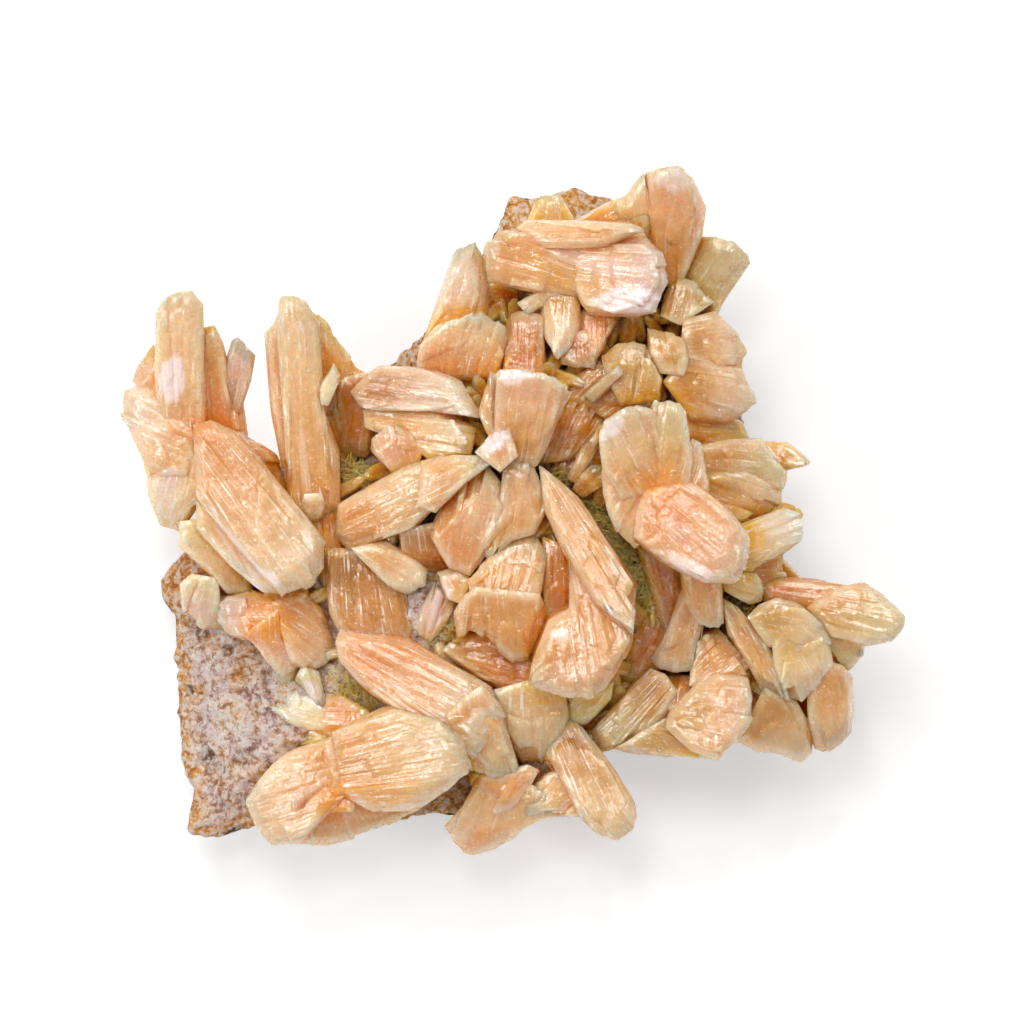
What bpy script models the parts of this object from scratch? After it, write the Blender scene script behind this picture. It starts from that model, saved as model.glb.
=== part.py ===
"""Stilbite with mordenite: sheaves of tabular stilbite crystals on a druse-covered basalt matrix.

The specimen lies on the flat broken underside of its matrix, with the crystals up. X runs to the
right and Y to the back when it is seen from above. Plan dimensions below are in millimetres.
"""

import math
from collections import namedtuple

import bmesh
import bpy
from mathutils import Vector, noise

MM = 0.001

# Driving dimensions, in millimetres
GAP = 0.3                 # clearance between pieces that touch
SIDE_CLEARANCE = 1.0      # clearance between the rock's sides and the crystals that pass them
CRUST_THICKNESS = 1.6     # druse on the rock
RIM_HEIGHT = 10.0         # top of the rock at its edge
CROWN_HEIGHT = 26.0       # top of the rock at its middle
LUMP_HEIGHT = 1.1         # unevenness of the rock
LUMP_SPACING = 9.0        # distance between its lumps
ROCK_SEGMENTS = 32        # steps round the rock
ROCK_RINGS = 12           # steps from its crown to its underside
RIM_WAVE = 0.5            # rise and fall of its rim, as a share of the rim's height
RIM_SPACING = 22.0        # distance between the rim's rises
TOP_SHARE = 7.001 / 12    # share of those steps that lies on its top
DOME_POWER = 2.2          # how full its dome is
SIDE_DROP = 2.4           # steepness of its sides
UNDERCUT = 0.2            # how much its sides draw in below
SIDE_LUMPS = 0.05         # unevenness of its sides, as a share of the radius
BEVEL_SHARE = 0.10        # bevel on a crystal's rim, as a share of its breadth
BEVEL_SLOPE = 0.8         # fall of that bevel for each millimetre of its width
BEVELLED_AREA = 45.0      # a crystal with a smaller plan than this keeps a sharp rim
FLAT_ANGLE = 8.0          # faces that meet at less than this, in degrees, become one
MERGE_DISTANCE = 0.12     # points closer than this become one
CLEANING = (1.0, 0.8, 0.6, 0.4, 0.2, 0.1, 0.02)  # shares of those two to try, in turn
ROOT_DEPTH = 1.5          # how far the crystals' roots reach below the top of the rock
FREE_DEPTH = 11.0         # depth of a root that stands out past the rock's edge

ROCK_COLOUR = (0.16, 0.11, 0.08)
CRUST_COLOUR = (0.66, 0.52, 0.47)

# Plan of the rock, from the far left round by the front, right and back
ROCK_PLAN = [
    (-55.2, -8), (-58.7, -14.3), (-56.3, -20), (-56.3, -28), (-55, -35), (-57.2, -42.5),
    (-54, -49.5), (-48.5, -55.2), (-42.5, -53), (-30, -52), (-15, -51), (-7, -50), (8, -46),
    (18, -38.5), (38, -37), (50, -37), (55, -31), (57.6, -24), (48, -14), (44, -4), (39.5, 12),
    (37.5, 22), (34, 35), (30, 44), (24, 50), (16.5, 51.6), (12, 54.2), (7, 54), (0, 52),
    (-1.2, 47), (-5, 42), (-10, 35), (-19, 25.5), (-25, 18), (-30, 11), (-41, 8), (-48, 6),
    (-52, -1),
]

Crystal = namedtuple("Crystal", "outline low high thick foot shrink")


def crystal(outline, low, high, thick=7, foot=None, shrink=0.3):
    """A tabular crystal: the plan of its broad face, two points on that face and its thickness.

    low is the end at its root and high the free end, each as (x, y, height). thick is the
    thickness at the free end. foot is the height of its back at the root, which is in the rock
    unless it is given, and shrink is how much the back narrows towards the root.
    """
    return Crystal(outline, Vector(low), Vector(high), thick, foot, shrink)


# Sheaves of crystals


def left_bowtie():
    """Sheaf at the far left that spreads up, left, down and to the right from its waist."""
    return [
        crystal([(-59.6, 13), (-59.3, 33.5), (-57, 36.8), (-53, 37), (-51.2, 34.5), (-50.5, 13)],
                low=(-54.5, 12, 31), high=(-55.5, 37, 38), foot=22),
        crystal([(-51.8, 30.5), (-49.5, 31.2), (-47.6, 27.5), (-47, 20), (-44.5, 13.5), (-51, 12)],
                low=(-49, 13, 28), high=(-50, 31, 33.5), thick=6, foot=20),
        crystal([(-63.6, 22.5), (-62.7, 24.8), (-60, 28.6), (-57.5, 27), (-56, 17), (-60, 15)],
                low=(-57, 16, 29), high=(-62, 26, 30), thick=6, foot=22),
        crystal([(-65.2, 20.6), (-65.3, 16.2), (-60.5, 6), (-54, 6), (-52, 13), (-60.5, 22)],
                low=(-53, 12, 32), high=(-65, 18, 32), foot=21),
        crystal([(-61.5, 8), (-60.8, 2), (-58.7, -2.6), (-55.2, -3.6), (-50, 4), (-54, 13)],
                low=(-53, 12, 32.5), high=(-57, -3, 27), foot=21),
        crystal([(-50, 18), (-46.6, 28.8), (-45.5, 29.3), (-42.4, 26.2), (-43.6, 21), (-45.5, 16)],
                low=(-47.5, 15, 27), high=(-44.5, 28, 32), thick=5, foot=20),
        crystal([(-49, 21), (-44.8, 20), (-43.8, 13), (-45.5, 8), (-51, 9)],
                low=(-48, 10, 28), high=(-46, 20, 26), thick=6, foot=20),
        crystal([(-53, 14.5), (-50, 15.3), (-45, 13), (-37.5, 3.6), (-30.6, -5), (-30.7, -10.2),
                 (-33.3, -13), (-38, -14.6), (-45, -7), (-52.5, 2)],
                low=(-50, 11, 34), high=(-33, -10, 36), thick=12, foot=21),
        crystal([(-45.5, 13.8), (-39, 9.6), (-37, 4), (-40, -1), (-48, 8)],
                low=(-45, 8, 30), high=(-38.5, 7, 28), foot=18),
        crystal([(-52.5, 2), (-49.5, -0.5), (-41, -8), (-37.6, -14), (-41.5, -13.6), (-47, -9),
                 (-52.5, -3)], low=(-50, 2, 31), high=(-42, -12, 30), thick=9),
        crystal([(-55.4, -1.5), (-50, -1), (-44, -9), (-42.5, -14.2), (-47.5, -13.8), (-51, -10.4),
                 (-55.6, -6)], low=(-52, -2, 28), high=(-46, -13, 24)),
        crystal([(-55.6, -12), (-53.4, -10.3), (-49, -11), (-48.2, -19.4), (-52, -19.8),
                 (-55.2, -16.5)], low=(-50, -11, 24), high=(-53, -19, 19.5), thick=6),
    ]


def tall_blade():
    """Tall blade that stands clear of its neighbours, with its pink and golden side faces."""
    return [
        crystal([(-39.4, 30.5), (-38.6, 36.1), (-36, 36.1), (-34, 35), (-31.4, 30), (-31.2, 17),
                 (-28.6, 10), (-28.5, 1), (-33, -2), (-37.4, 1), (-38.2, 14)],
                low=(-33, 2, 29), high=(-36, 36, 37)),
        crystal([(-41.4, 30), (-39.8, 31.4), (-38.4, 34.6), (-36.5, 22), (-36.5, 4), (-38.6, 8.6),
                 (-40.4, 18)], low=(-38, 8, 27), high=(-40, 30, 33), thick=6),
        crystal([(-35, 35.2), (-31, 32), (-26, 25.5), (-24, 23.2), (-27, 16), (-32, 14),
                 (-33.5, 28)], low=(-30, 17, 26), high=(-31, 31, 31)),
        crystal([(-32, 21), (-31.8, 17.8), (-30.4, 17.6), (-28.4, 22.5), (-29.5, 25)],
                low=(-31, 18.5, 33.6), high=(-29.3, 24.5, 35), thick=4, foot=27),
        crystal([(-34.8, 3), (-31.4, 3.2), (-31, 0.6), (-32, -1.4), (-34, -1.6), (-35.2, 0.4)],
                low=(-33, 2, 31.4), high=(-33, -1.4, 30), thick=5),
    ]


def left_fan():
    """Small fan with an orange centre, below the large diagonal blade."""
    return [
        crystal([(-49.6, -14), (-49.7, -18.3), (-48, -20.7), (-44.8, -21.6), (-38.5, -20),
                 (-39.5, -14.5), (-44, -12.6)], low=(-39.5, -18, 27), high=(-49, -18, 22)),
        crystal([(-45, -20.6), (-43, -22.8), (-40, -26.3), (-37.4, -29.5), (-35.6, -27), (-36, -20),
                 (-39, -16)], low=(-39, -18, 27.5), high=(-38.5, -28.5, 22)),
        crystal([(-40, -15), (-36.8, -25.6), (-34, -26.9), (-31.6, -26.3), (-28.9, -24.6),
                 (-29.8, -20.5), (-31.2, -16.5), (-34, -13)],
                low=(-39, -17.5, 28), high=(-30.5, -24, 25)),
        crystal([(-40, -21.5), (-44.5, -16), (-41, -11.5), (-34, -11), (-32.5, -18)],
                low=(-38, -20, 28.6), high=(-38, -12, 27)),
        crystal([(-36.3, -28), (-34.9, -25.4), (-32, -26.6), (-30.5, -32.9), (-32, -33.7),
                 (-34, -31)], low=(-34, -25.5, 25), high=(-31.5, -33, 24), thick=4),
    ]


def small_wedges():
    """Cream lobe and two wedges between the fan and the lower bow-tie."""
    return [
        crystal([(-40.2, -33.2), (-39.6, -30.3), (-36, -29.5), (-30.5, -32.4), (-30.5, -36.5),
                 (-36, -36.6)], low=(-32, -33.5, 23), high=(-39.8, -31.8, 21.5), thick=5),
        crystal([(-40, -33.4), (-32, -34.5), (-30, -38.2), (-36.6, -39.2)],
                low=(-31.5, -36, 22), high=(-38.8, -35, 19.6), thick=4),
        crystal([(-31.4, -29.7), (-29.4, -29.5), (-23.5, -33.1), (-23.2, -35), (-29.3, -38.5),
                 (-33, -36.5)], low=(-31, -33.5, 23.5), high=(-24, -33.5, 27)),
    ]


def lower_bowtie():
    """Large bow-tie at the lower left: a striated right lobe and lower lobes round an orange core."""
    return [
        crystal([(-30, -36.6), (-22, -32.6), (-19.7, -31.6), (-10.9, -34.2), (-7.7, -38.2),
                 (-7, -43.2), (-9.5, -45.9), (-15.2, -49.8), (-23, -50), (-31, -46)],
                low=(-29.5, -44.5, 28), high=(-8.5, -41, 36), thick=9),
        crystal([(-31, -44), (-20, -45), (-15, -49.9), (-21.4, -52.8), (-26.9, -54.9),
                 (-31, -55.9), (-36.3, -55.4), (-37, -48)],
                low=(-29, -45, 28), high=(-25, -55, 20)),
        crystal([(-30, -37.4), (-37, -39.6), (-40, -42), (-42.4, -44.8), (-44.8, -48),
                 (-42.2, -54.2), (-40.3, -56), (-35.5, -55.4), (-27.5, -47)],
                low=(-28.5, -45.5, 28.6), high=(-43.5, -50, 24), thick=9),
        crystal([(-32, -38), (-28, -36.6), (-24.5, -42), (-26.5, -50), (-33, -50), (-36, -44)],
                low=(-29, -47, 29.6), high=(-30.5, -37.5, 27)),
    ]


def long_blade():
    """Long bent blade from the centre left to the bottom, with the striated blade it covers."""
    return [
        crystal([(-29.4, -21.5), (-28.6, -19.4), (-16.8, -20.9), (-10.5, -25), (-3.6, -28.7),
                 (-0.8, -34), (-6, -41), (-12, -38), (-20, -33), (-24.2, -29.9), (-28.8, -24.9)],
                low=(-26, -22, 29), high=(-4, -34, 32.6), thick=9),
        crystal([(-5, -28.6), (-1.2, -32.8), (-0.3, -38.4), (1.6, -42), (1.5, -44.2), (-1.8, -45.1),
                 (-6, -44), (-9.5, -40), (-12, -34)],
                low=(-6, -31, 33), high=(-2, -45, 28), thick=9),
        crystal([(-31.5, -6), (-26, -6), (-17.5, -11), (-15.6, -19), (-17.5, -23), (-27.5, -22.5),
                 (-30.5, -17)], low=(-24, -8, 29), high=(-22, -22, 28), thick=8),
        crystal([(-19, -10), (-12.6, -12), (-14.8, -18.5), (-15.4, -22), (-18.5, -22)],
                low=(-16, -11, 26), high=(-16, -22, 25.5), thick=7),
        crystal([(-38, 3), (-33, 1), (-28, 2), (-27.5, -4), (-26, -8), (-28, -13), (-31.6, -14),
                 (-33, -4)], low=(-31, 1, 27), high=(-29.5, -13, 26.5)),
    ]


def centre_pair():
    """Two level crystals side by side, a pink six-sided one below and the amber wall behind."""
    return [
        crystal([(-24.2, 22.9), (-22, 24.4), (-14, 24.2), (-8.5, 21.9), (-5.4, 17), (-3.5, 13.4),
                 (-9, 13.4), (-12, 16.5), (-24.8, 16.8), (-27, 20)],
                low=(-24, 20, 31.4), high=(-5, 17, 39), thick=9),
        crystal([(-24.8, 17.4), (-10, 17.2), (-5.6, 14), (-6.6, 9.4), (-13, 8), (-17.5, 11.5),
                 (-24.5, 14)], low=(-23, 15, 30.4), high=(-8, 13, 37), thick=9),
        crystal([(-23.4, 13), (-20.6, 15.1), (-16, 13), (-14.6, 11), (-15.2, 8.2), (-20, 6.6),
                 (-23.6, 10.2)], low=(-18, 8, 33.4), high=(-20, 15, 35.6)),
        crystal([(-29.6, 22), (-24, 23.4), (-22.6, 14), (-24, 9), (-28.8, 9.6)],
                low=(-25, 20, 28.5), high=(-27, 10, 23)),
    ]


def arch():
    """Arched blade over the centre, the two pink bands at its end and the lumps below it."""
    return [
        crystal([(-29.4, -4), (-29, 1.4), (-25, 3.8), (-18, 7.8), (-11, 9.6), (-10.5, 3),
                 (-16.5, -3.2), (-21, -4.4), (-27, -6.8)],
                low=(-27, -2, 31), high=(-12, 5, 39.4), thick=9),
        crystal([(-15, 8.6), (-10, 9.8), (-4.6, 9.7), (-3.2, 8), (-7.6, 4.8), (-12.6, -0.2),
                 (-15.8, 1)], low=(-13, 4, 39.6), high=(-4.5, 8.5, 42.4), thick=9),
        crystal([(-5.4, 9.4), (-2, 5.4), (-0.8, 1), (-4.8, -8), (-7, -10.7), (-10.6, -9.2),
                 (-14, -3.4), (-12, 1), (-8, 5)], low=(-8, -8, 34.4), high=(-4, 9, 41), thick=10),
        crystal([(-3, 9.4), (3.6, 8.4), (6.5, 1.6), (3.8, -3.7), (0, -4.8), (-3.6, -8.2),
                 (-6, -6), (-2, 0)], low=(0, -5, 36), high=(2, 8.5, 40), thick=10),
        crystal([(-19, -3), (-12, -1.5), (-9.4, -4), (-9, -9.8), (-13, -10.6), (-18.4, -8)],
                low=(-14, -4, 33), high=(-13, -10, 29), thick=10),
        crystal([(-27, -6), (-20.6, -4.6), (-16.2, -7.6), (-13.9, -9.6), (-14.4, -12.4),
                 (-17, -14.1), (-20, -13), (-23.6, -9.4)],
                low=(-24, -7, 31.5), high=(-15.5, -12.5, 31.5), thick=6),
    ]


def centre_fan():
    """Stacked fan below the bands, cream crystals under it and a lilac pointed one beside it."""
    return [
        crystal([(-12.8, -11.4), (-9.2, -14.8), (-10.8, -18.6), (-13.6, -21.8), (-16, -20.4),
                 (-15.3, -16)], low=(-14.5, -20, 27), high=(-12.4, -12, 31.5), thick=6),
        crystal([(-12.6, -10), (-9, -9), (-6.4, -11), (-8.4, -15.4), (-11, -14.4)],
                low=(-8.5, -14, 32), high=(-11, -10, 32), thick=6),
        crystal([(-7.4, -11), (-4, -7.4), (0, -4.2), (3.6, -3.2), (6, -7), (5.3, -10.6),
                 (4.8, -14), (-6.8, -15)], low=(-1, -14, 36.6), high=(1, -4.5, 34.6), thick=11),
        crystal([(-9.8, -16.8), (-8, -13.8), (-6, -12.4), (4.8, -13.6), (6.1, -17.2), (5.6, -19.5),
                 (3.2, -24.6), (0, -25.2), (-2.6, -23), (-4.4, -21.2), (-7, -20.4), (-9.2, -21)],
                low=(-1, -14, 37.6), high=(0, -24.5, 32.5), thick=12),
        crystal([(-12.4, -23.2), (-10.8, -21.4), (-7.5, -19.6), (-2, -19.6), (4, -24), (4, -30.4),
                 (-1.5, -30.4), (-5, -28.4)], low=(1, -26, 29), high=(-11, -22.5, 29)),
        crystal([(-3.2, -29.6), (2.6, -28), (9, -29.6), (9.7, -34.2), (8.6, -38.5), (5, -42.4),
                 (1.4, -42.2), (-1.4, -38)], low=(3, -29, 31.4), high=(4, -42, 25.6), thick=10),
    ]


def broad_crystal():
    """Broad crystal with a glittering end, a stepped left side and a bright facet below it."""
    return [
        crystal([(-3.6, 23.8), (5.5, 23.6), (10.1, 20), (8, 16), (5.6, 10), (4, 7.4), (-3, 7.4),
                 (-3.4, 14), (-2.8, 18)], low=(1, 9, 39), high=(3, 23.5, 46), thick=10),
        crystal([(-6.3, 9.9), (-3.2, 13.9), (0.2, 13.7), (1.2, 9.4), (-2, 6.6)],
                low=(-1.5, 7.5, 42.8), high=(-3, 13.7, 42.6), thick=6),
        crystal([(-5.7, 16.6), (-3.7, 23.6), (-0.5, 23), (-0.5, 12.6), (-4, 12.6)],
                low=(-2.2, 14, 39.6), high=(-3, 23, 42), thick=9),
    ]


def curved_blade():
    """Large curved blade: a silky ridge down its right side and a rounded cream end."""
    return [
        crystal([(4.4, 8), (8.2, 5), (11.2, 2.3), (15.8, -4), (20, -10.4), (21.5, -13), (20.9, -17),
                 (20.3, -21), (14, -16), (9, -8), (5.4, 0)],
                low=(6, 5, 38), high=(20, -18, 43), thick=11),
        crystal([(5, 2), (11, -5), (17, -15), (20.4, -20.2), (19.8, -23), (18, -26.3),
                 (15.6, -29.9), (13, -31.1), (8.6, -30.9), (2.7, -28.7), (3.2, -25.4), (6, -18),
                 (9.5, -16), (9.5, -9), (5.8, -5)],
                low=(7, -2, 37), high=(11, -30, 41), thick=11),
        crystal([(4.8, -4), (11, -6), (11.5, -18), (5.6, -19), (4.4, -13)],
                low=(8, -5, 34.5), high=(8, -18, 33)),
    ]


def rosette():
    """Large rosette on the right: five lobes round an orange centre, and two thin crystals."""
    return [
        crystal([(14.2, 13.3), (15.2, 15.2), (18.5, 17.3), (21, 17.8), (24.2, 17), (26, 9),
                 (25, 3), (18, 2), (14.8, 7), (14.3, 10)],
                low=(23.5, 4.5, 42.4), high=(18, 16, 47.5), thick=10),
        crystal([(22.6, 16.6), (23.4, 18.6), (25.5, 18.6), (27.8, 18), (29, 16.3), (29.6, 12),
                 (30.4, 8), (29, 2), (23, 3), (21.5, 10)],
                low=(24.5, 4.5, 42.4), high=(26.5, 17.5, 46), thick=10),
        crystal([(28.6, 13), (31.5, 11.4), (32.7, 5), (33, 2.6), (27, 3), (27, 9)],
                low=(28.5, 4, 41.4), high=(31, 11, 41), thick=8),
        crystal([(20, -4.6), (20.6, 0), (22, 4), (26, 6), (30, 5), (33, 3.1), (36.6, 0),
                 (39.6, -4), (39.3, -6.8), (38.4, -11), (36.8, -12), (31.8, -11.8),
                 (27.2, -9.8), (24, -7.9)], low=(24, 3, 43), high=(37.5, -8, 45), thick=11),
        crystal([(20.4, -6.8), (17.2, -3.6), (15.6, 0), (14.5, 5), (15, 10), (20, 9), (24, 4),
                 (21.5, 0), (21.5, -5)], low=(22, 4, 42), high=(17.5, -4.5, 39), thick=9),
        crystal([(9.1, 5.5), (10.8, 4.6), (15, 12), (14.4, 14.2), (12.5, 12.6), (10.4, 9)],
                low=(10, 5, 33), high=(13.8, 13.5, 38), thick=4),
        crystal([(10, 3.8), (11.8, 2.2), (15.4, 4.6), (15.4, 7.8), (13, 8), (10.4, 5)],
                low=(11, 3, 33), high=(15, 6.8, 37), thick=4),
    ]


def amber_plates():
    """Amber and brown plates in the gap below the rosette."""
    return [
        crystal([(27.8, -9.6), (35, -10), (35.3, -19), (33, -19.8), (31, -18.8), (28.6, -16)],
                low=(31, -11, 34.6), high=(32, -19.5, 33), thick=10),
        crystal([(28.2, -11), (33.4, -12), (31.6, -19.5), (30.8, -22), (31.2, -26.6),
                 (27, -26.8), (24.4, -26.2), (22.2, -24.3), (25.5, -22), (27.6, -17)],
                low=(30, -14, 32.6), high=(27, -26, 30.5), thick=10),
        crystal([(20.4, -5.4), (24.5, -7), (28.8, -10), (28.8, -17), (27, -23), (24, -17.5),
                 (23.4, -14)], low=(24, -8, 32), high=(27, -20, 29)),
        crystal([(20.2, -17.6), (24.5, -16.8), (28, -20.6), (26, -25), (22.6, -29), (15.6, -28),
                 (19.4, -23)], low=(23, -19, 28), high=(19, -28, 26)),
    ]


def upper_sheaf():
    """Pearly bow-tie near the top: a large right lobe, a peach left lobe and blades round them."""
    return [
        crystal([(10.2, 37.6), (9, 42), (10, 47.1), (20, 47.6), (22, 46.8), (25, 43), (26.3, 38.6),
                 (25, 36), (24, 33), (20, 32.2), (13, 32.7), (11.4, 34.6)],
                low=(11, 40, 33.6), high=(25, 38, 40.5), thick=10),
        crystal([(-4.9, 43.8), (-3, 47), (1, 47.3), (12, 46), (13, 39), (10.6, 35.4), (4, 36.3),
                 (-4.2, 38)], low=(11, 39.5, 33), high=(-3.5, 44, 34), thick=9),
        crystal([(0.7, 47.1), (2.5, 48.7), (10, 48.5), (20, 48.1), (22.4, 46.6), (15, 43.6),
                 (6, 43.4)], low=(2, 46.5, 33.6), high=(20, 47.5, 40), thick=7),
        crystal([(-15.2, 27.6), (-13, 34), (-10, 42.4), (-9.4, 43.8), (-6, 45.2), (-4.6, 43),
                 (-3.6, 38), (-3.8, 33), (-8, 27.6)],
                low=(-11, 29, 27), high=(-7.5, 44, 32), thick=6),
        crystal([(9.6, 48.3), (16.5, 52), (21, 52.2), (23.2, 49), (23, 45.4), (11, 44)],
                low=(12, 46, 30), high=(20, 51.5, 34), thick=8),
        crystal([(2.3, 48.4), (3.6, 51.6), (5, 52.7), (8, 53.1), (10.6, 48.6), (9, 44),
                 (4, 44)], low=(7, 45.5, 27), high=(5.5, 52.5, 28)),
        crystal([(0.5, 34.7), (2.4, 32.4), (11, 37.6), (10.6, 40.6)],
                low=(10, 39.3, 32.6), high=(1.5, 33.6, 32), thick=6),
    ]


def top_blade():
    """Upright pair of blades at the top right, and the green translucent one behind them."""
    return [
        crystal([(22, 56.7), (27.5, 57.5), (30, 56.1), (32.5, 51), (31.7, 46), (28, 37),
                 (24.2, 38), (22.8, 48)], low=(26.5, 39, 29), high=(27, 57, 40), thick=9),
        crystal([(16.3, 51.7), (19, 52.8), (20.5, 55.1), (22, 56.7), (24.6, 52), (25, 42),
                 (20, 43)], low=(23, 42, 29), high=(20.5, 55.5, 37)),
        crystal([(31.4, 46), (34, 46.2), (37, 45.3), (39.5, 43), (39.9, 41.3), (35.8, 36),
                 (33.6, 31), (27, 33), (27, 40.5)], low=(30, 34, 25), high=(36.5, 44.5, 30)),
    ]


def upper_right_lumps():
    """Rounded lumps along the right edge below the top blades, with a small rosette."""
    return [
        crystal([(24.6, 32.6), (28, 31), (33.8, 35), (31, 38.2), (27, 39.6), (25.6, 37)],
                low=(28, 31.5, 31), high=(30, 38, 29.6)),
        crystal([(28, 27), (28.4, 32), (33.8, 33.6), (37.8, 30), (39.5, 27), (38.8, 23), (32, 23)],
                low=(30, 27, 32.4), high=(38, 28, 30.4), thick=10),
        crystal([(38.8, 24), (40.4, 20), (41, 18.4), (38.6, 16.1), (36.4, 14.8), (30, 15),
                 (25, 21.6), (29, 27)], low=(27, 22, 33.6), high=(39, 19.5, 31), thick=11),
        crystal([(22.4, 31), (28.6, 29.3), (29.7, 26.2), (28.6, 22.6), (24.6, 23), (22.4, 27)],
                low=(26, 25, 34.6), high=(25, 31, 34.6), thick=11),
        crystal([(14.8, 26), (17.5, 28.2), (20, 28.4), (23.6, 27.4), (25.4, 22.5), (25, 18.6),
                 (18, 17.6), (15.6, 22)], low=(19, 19, 34.6), high=(20, 28, 36), thick=12),
        crystal([(11.8, 19.6), (13.4, 18), (18.8, 22.8), (17.6, 24.8)],
                low=(12.7, 19, 33.6), high=(18.1, 23.8, 37.6), thick=4),
        crystal([(28, 17), (38.4, 15.4), (39.8, 12), (31, 10), (28, 11)],
                low=(31, 14, 29.6), high=(39, 13.5, 26), thick=9),
    ]


def hexagon_blade():
    """Peach six-sided blade with small upright crystals to its right."""
    return [
        crystal([(-12.7, 31), (-5, 33.9), (-0.9, 31), (-0.6, 28), (-1.6, 22), (-16, 21.6),
                 (-15.7, 27.5)], low=(-9, 23, 32), high=(-7, 32.5, 36.5), thick=9),
        crystal([(-1.8, 23), (-1.2, 32.4), (1, 33.5), (5.4, 33), (6, 22)],
                low=(2, 24, 33), high=(2, 33, 32.6), thick=9),
        crystal([(4.6, 33.5), (5, 39), (10.8, 40), (11.7, 31), (9.8, 27), (7.5, 24.8), (5.4, 28)],
                low=(8.5, 38, 31), high=(7.6, 25.5, 35.4), thick=9),
        crystal([(10.4, 31), (12, 34), (18.4, 33), (16.7, 29), (14, 25), (11.8, 27)],
                low=(14, 33, 31), high=(14, 25.5, 33.4)),
        crystal([(8, 24.4), (8.8, 29.8), (13, 30.4), (14.8, 27), (13.8, 23.4)],
                low=(11, 29.5, 32), high=(11, 24.5, 33)),
    ]


def honey_blades():
    """Deep honey-coloured blades low in the gap behind the rosette."""
    return [
        crystal([(4, 14), (9.6, 20.4), (12.8, 19), (16, 16), (15.5, 12), (9.5, 8.6), (4.6, 8)],
                low=(9, 10, 31), high=(13, 18, 31)),
        crystal([(7, 19), (12.6, 25.6), (17, 26), (25.5, 22), (26, 17), (17, 14.5), (12, 17.6)],
                low=(14, 17, 31.6), high=(20, 22, 32)),
        crystal([(6.8, 8.6), (9, 11), (14.6, 12.5), (16, 8), (12.5, 6.4), (9.3, 5), (7.2, 7.2)],
                low=(9, 6, 29), high=(13, 11, 29)),
    ]


def right_lump():
    """Green-cream lump at the right with a thin tip behind it."""
    return [
        crystal([(31, 11), (36, 12.2), (41.6, 12.4), (43.5, 9.4), (46.1, 6.8), (45.9, 5),
                 (45, 3.4), (40, 4.4), (32, 4)], low=(33, 8, 34.6), high=(44.5, 6.5, 31.6), thick=10),
        crystal([(32, 6.4), (40, 7), (45.1, 4.2), (45, 1.5), (43.6, -0.4), (40, -1.7),
                 (37.6, -3), (32, 1)], low=(34.5, 4, 34.8), high=(44, 0.5, 32.4), thick=10),
        crystal([(40.4, 12.3), (42.5, 11.7), (46, 11.6), (48, 10.1), (49.8, 8.4), (49.2, 7.5),
                 (45.8, 6.8), (41.5, 6)], low=(41, 9, 27), high=(49, 8.5, 29), thick=4),
    ]


def silky_crystal():
    """Silky striated crystal at the right edge, with small crystals above and below it."""
    return [
        crystal([(37.6, -2), (43.6, 0.2), (45.2, 0.8), (48, -0.1), (49.1, -1.4), (49.1, -4.3),
                 (47, -6.3), (42, -8.7), (40, -9.9), (37, -9.6)],
                low=(38.5, -6.5, 33), high=(48.5, -3, 36), thick=8),
        crystal([(44.4, 2.3), (47.4, 1.7), (48.9, -0.6), (46.5, -2.5), (42.5, -1)],
                low=(44, -1, 30), high=(47, 1.5, 29), thick=5),
        crystal([(35, -11.6), (38.4, -9.6), (40.6, -9.8), (41.7, -11.5), (42.1, -13.5),
                 (41.6, -15.1), (39.5, -15.5), (35.2, -13.2)],
                low=(36, -12, 32), high=(41.3, -14, 31), thick=7),
        crystal([(39.6, -9), (45.3, -6), (45.8, -10.8), (45.6, -14), (40.6, -14)],
                low=(42, -10, 28.4), high=(45.5, -9.5, 27), thick=7),
    ]


def right_point():
    """Crystal that points to the far right, with a pale piece under its lower side."""
    return [
        crystal([(41, -11.2), (45.4, -10.8), (50.5, -11), (55, -12.3), (58.7, -11.7), (61, -15),
                 (58, -21), (50, -18.5), (42, -16)], low=(44, -14, 29), high=(59, -16.5, 32)),
        crystal([(53, -12.6), (58.7, -11.7), (62, -13.9), (65.5, -17.4), (65.2, -19.2),
                 (63.4, -21.5), (59, -22.4), (53, -21), (49, -16)],
                low=(50, -15, 31), high=(64.5, -18.5, 34)),
        crystal([(51.4, -19.6), (55, -20.4), (59, -21.6), (58.7, -24), (56.4, -26.7),
                 (54.5, -25.8), (51.4, -23)], low=(53, -20, 29), high=(57, -25.5, 26), thick=6),
    ]


def grainy_lump():
    """Grainy cream lumps at the lower right and the crystals at their foot."""
    return [
        crystal([(39, -17.4), (41, -15.4), (44.2, -14.1), (48, -15.2), (52, -18.9), (53.4, -22),
                 (48, -24), (42.5, -22.5)], low=(42, -18, 33.4), high=(51, -20, 32.4), thick=11),
        crystal([(43, -20), (52.6, -20), (53.7, -25.8), (50.8, -29.4), (48.4, -32), (45.2, -31.4),
                 (43.6, -26)], low=(45.5, -21, 32.8), high=(50, -30, 30), thick=11),
        crystal([(51, -24.6), (55, -25.4), (56.9, -27.5), (57.1, -33), (56.7, -37), (55, -38.7),
                 (52.3, -40.7), (50.4, -40.1), (49.4, -36.5), (49, -28)],
                low=(51, -28, 28.6), high=(54, -39, 24.4), thick=9),
        crystal([(37.3, -38.2), (41, -40.1), (44.2, -40.3), (48.2, -42), (50.2, -40.4),
                 (50.5, -36.6), (47.6, -31.6), (42, -29), (39.6, -34)],
                low=(43, -31, 28.4), high=(47.5, -41, 22.4)),
    ]


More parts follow.
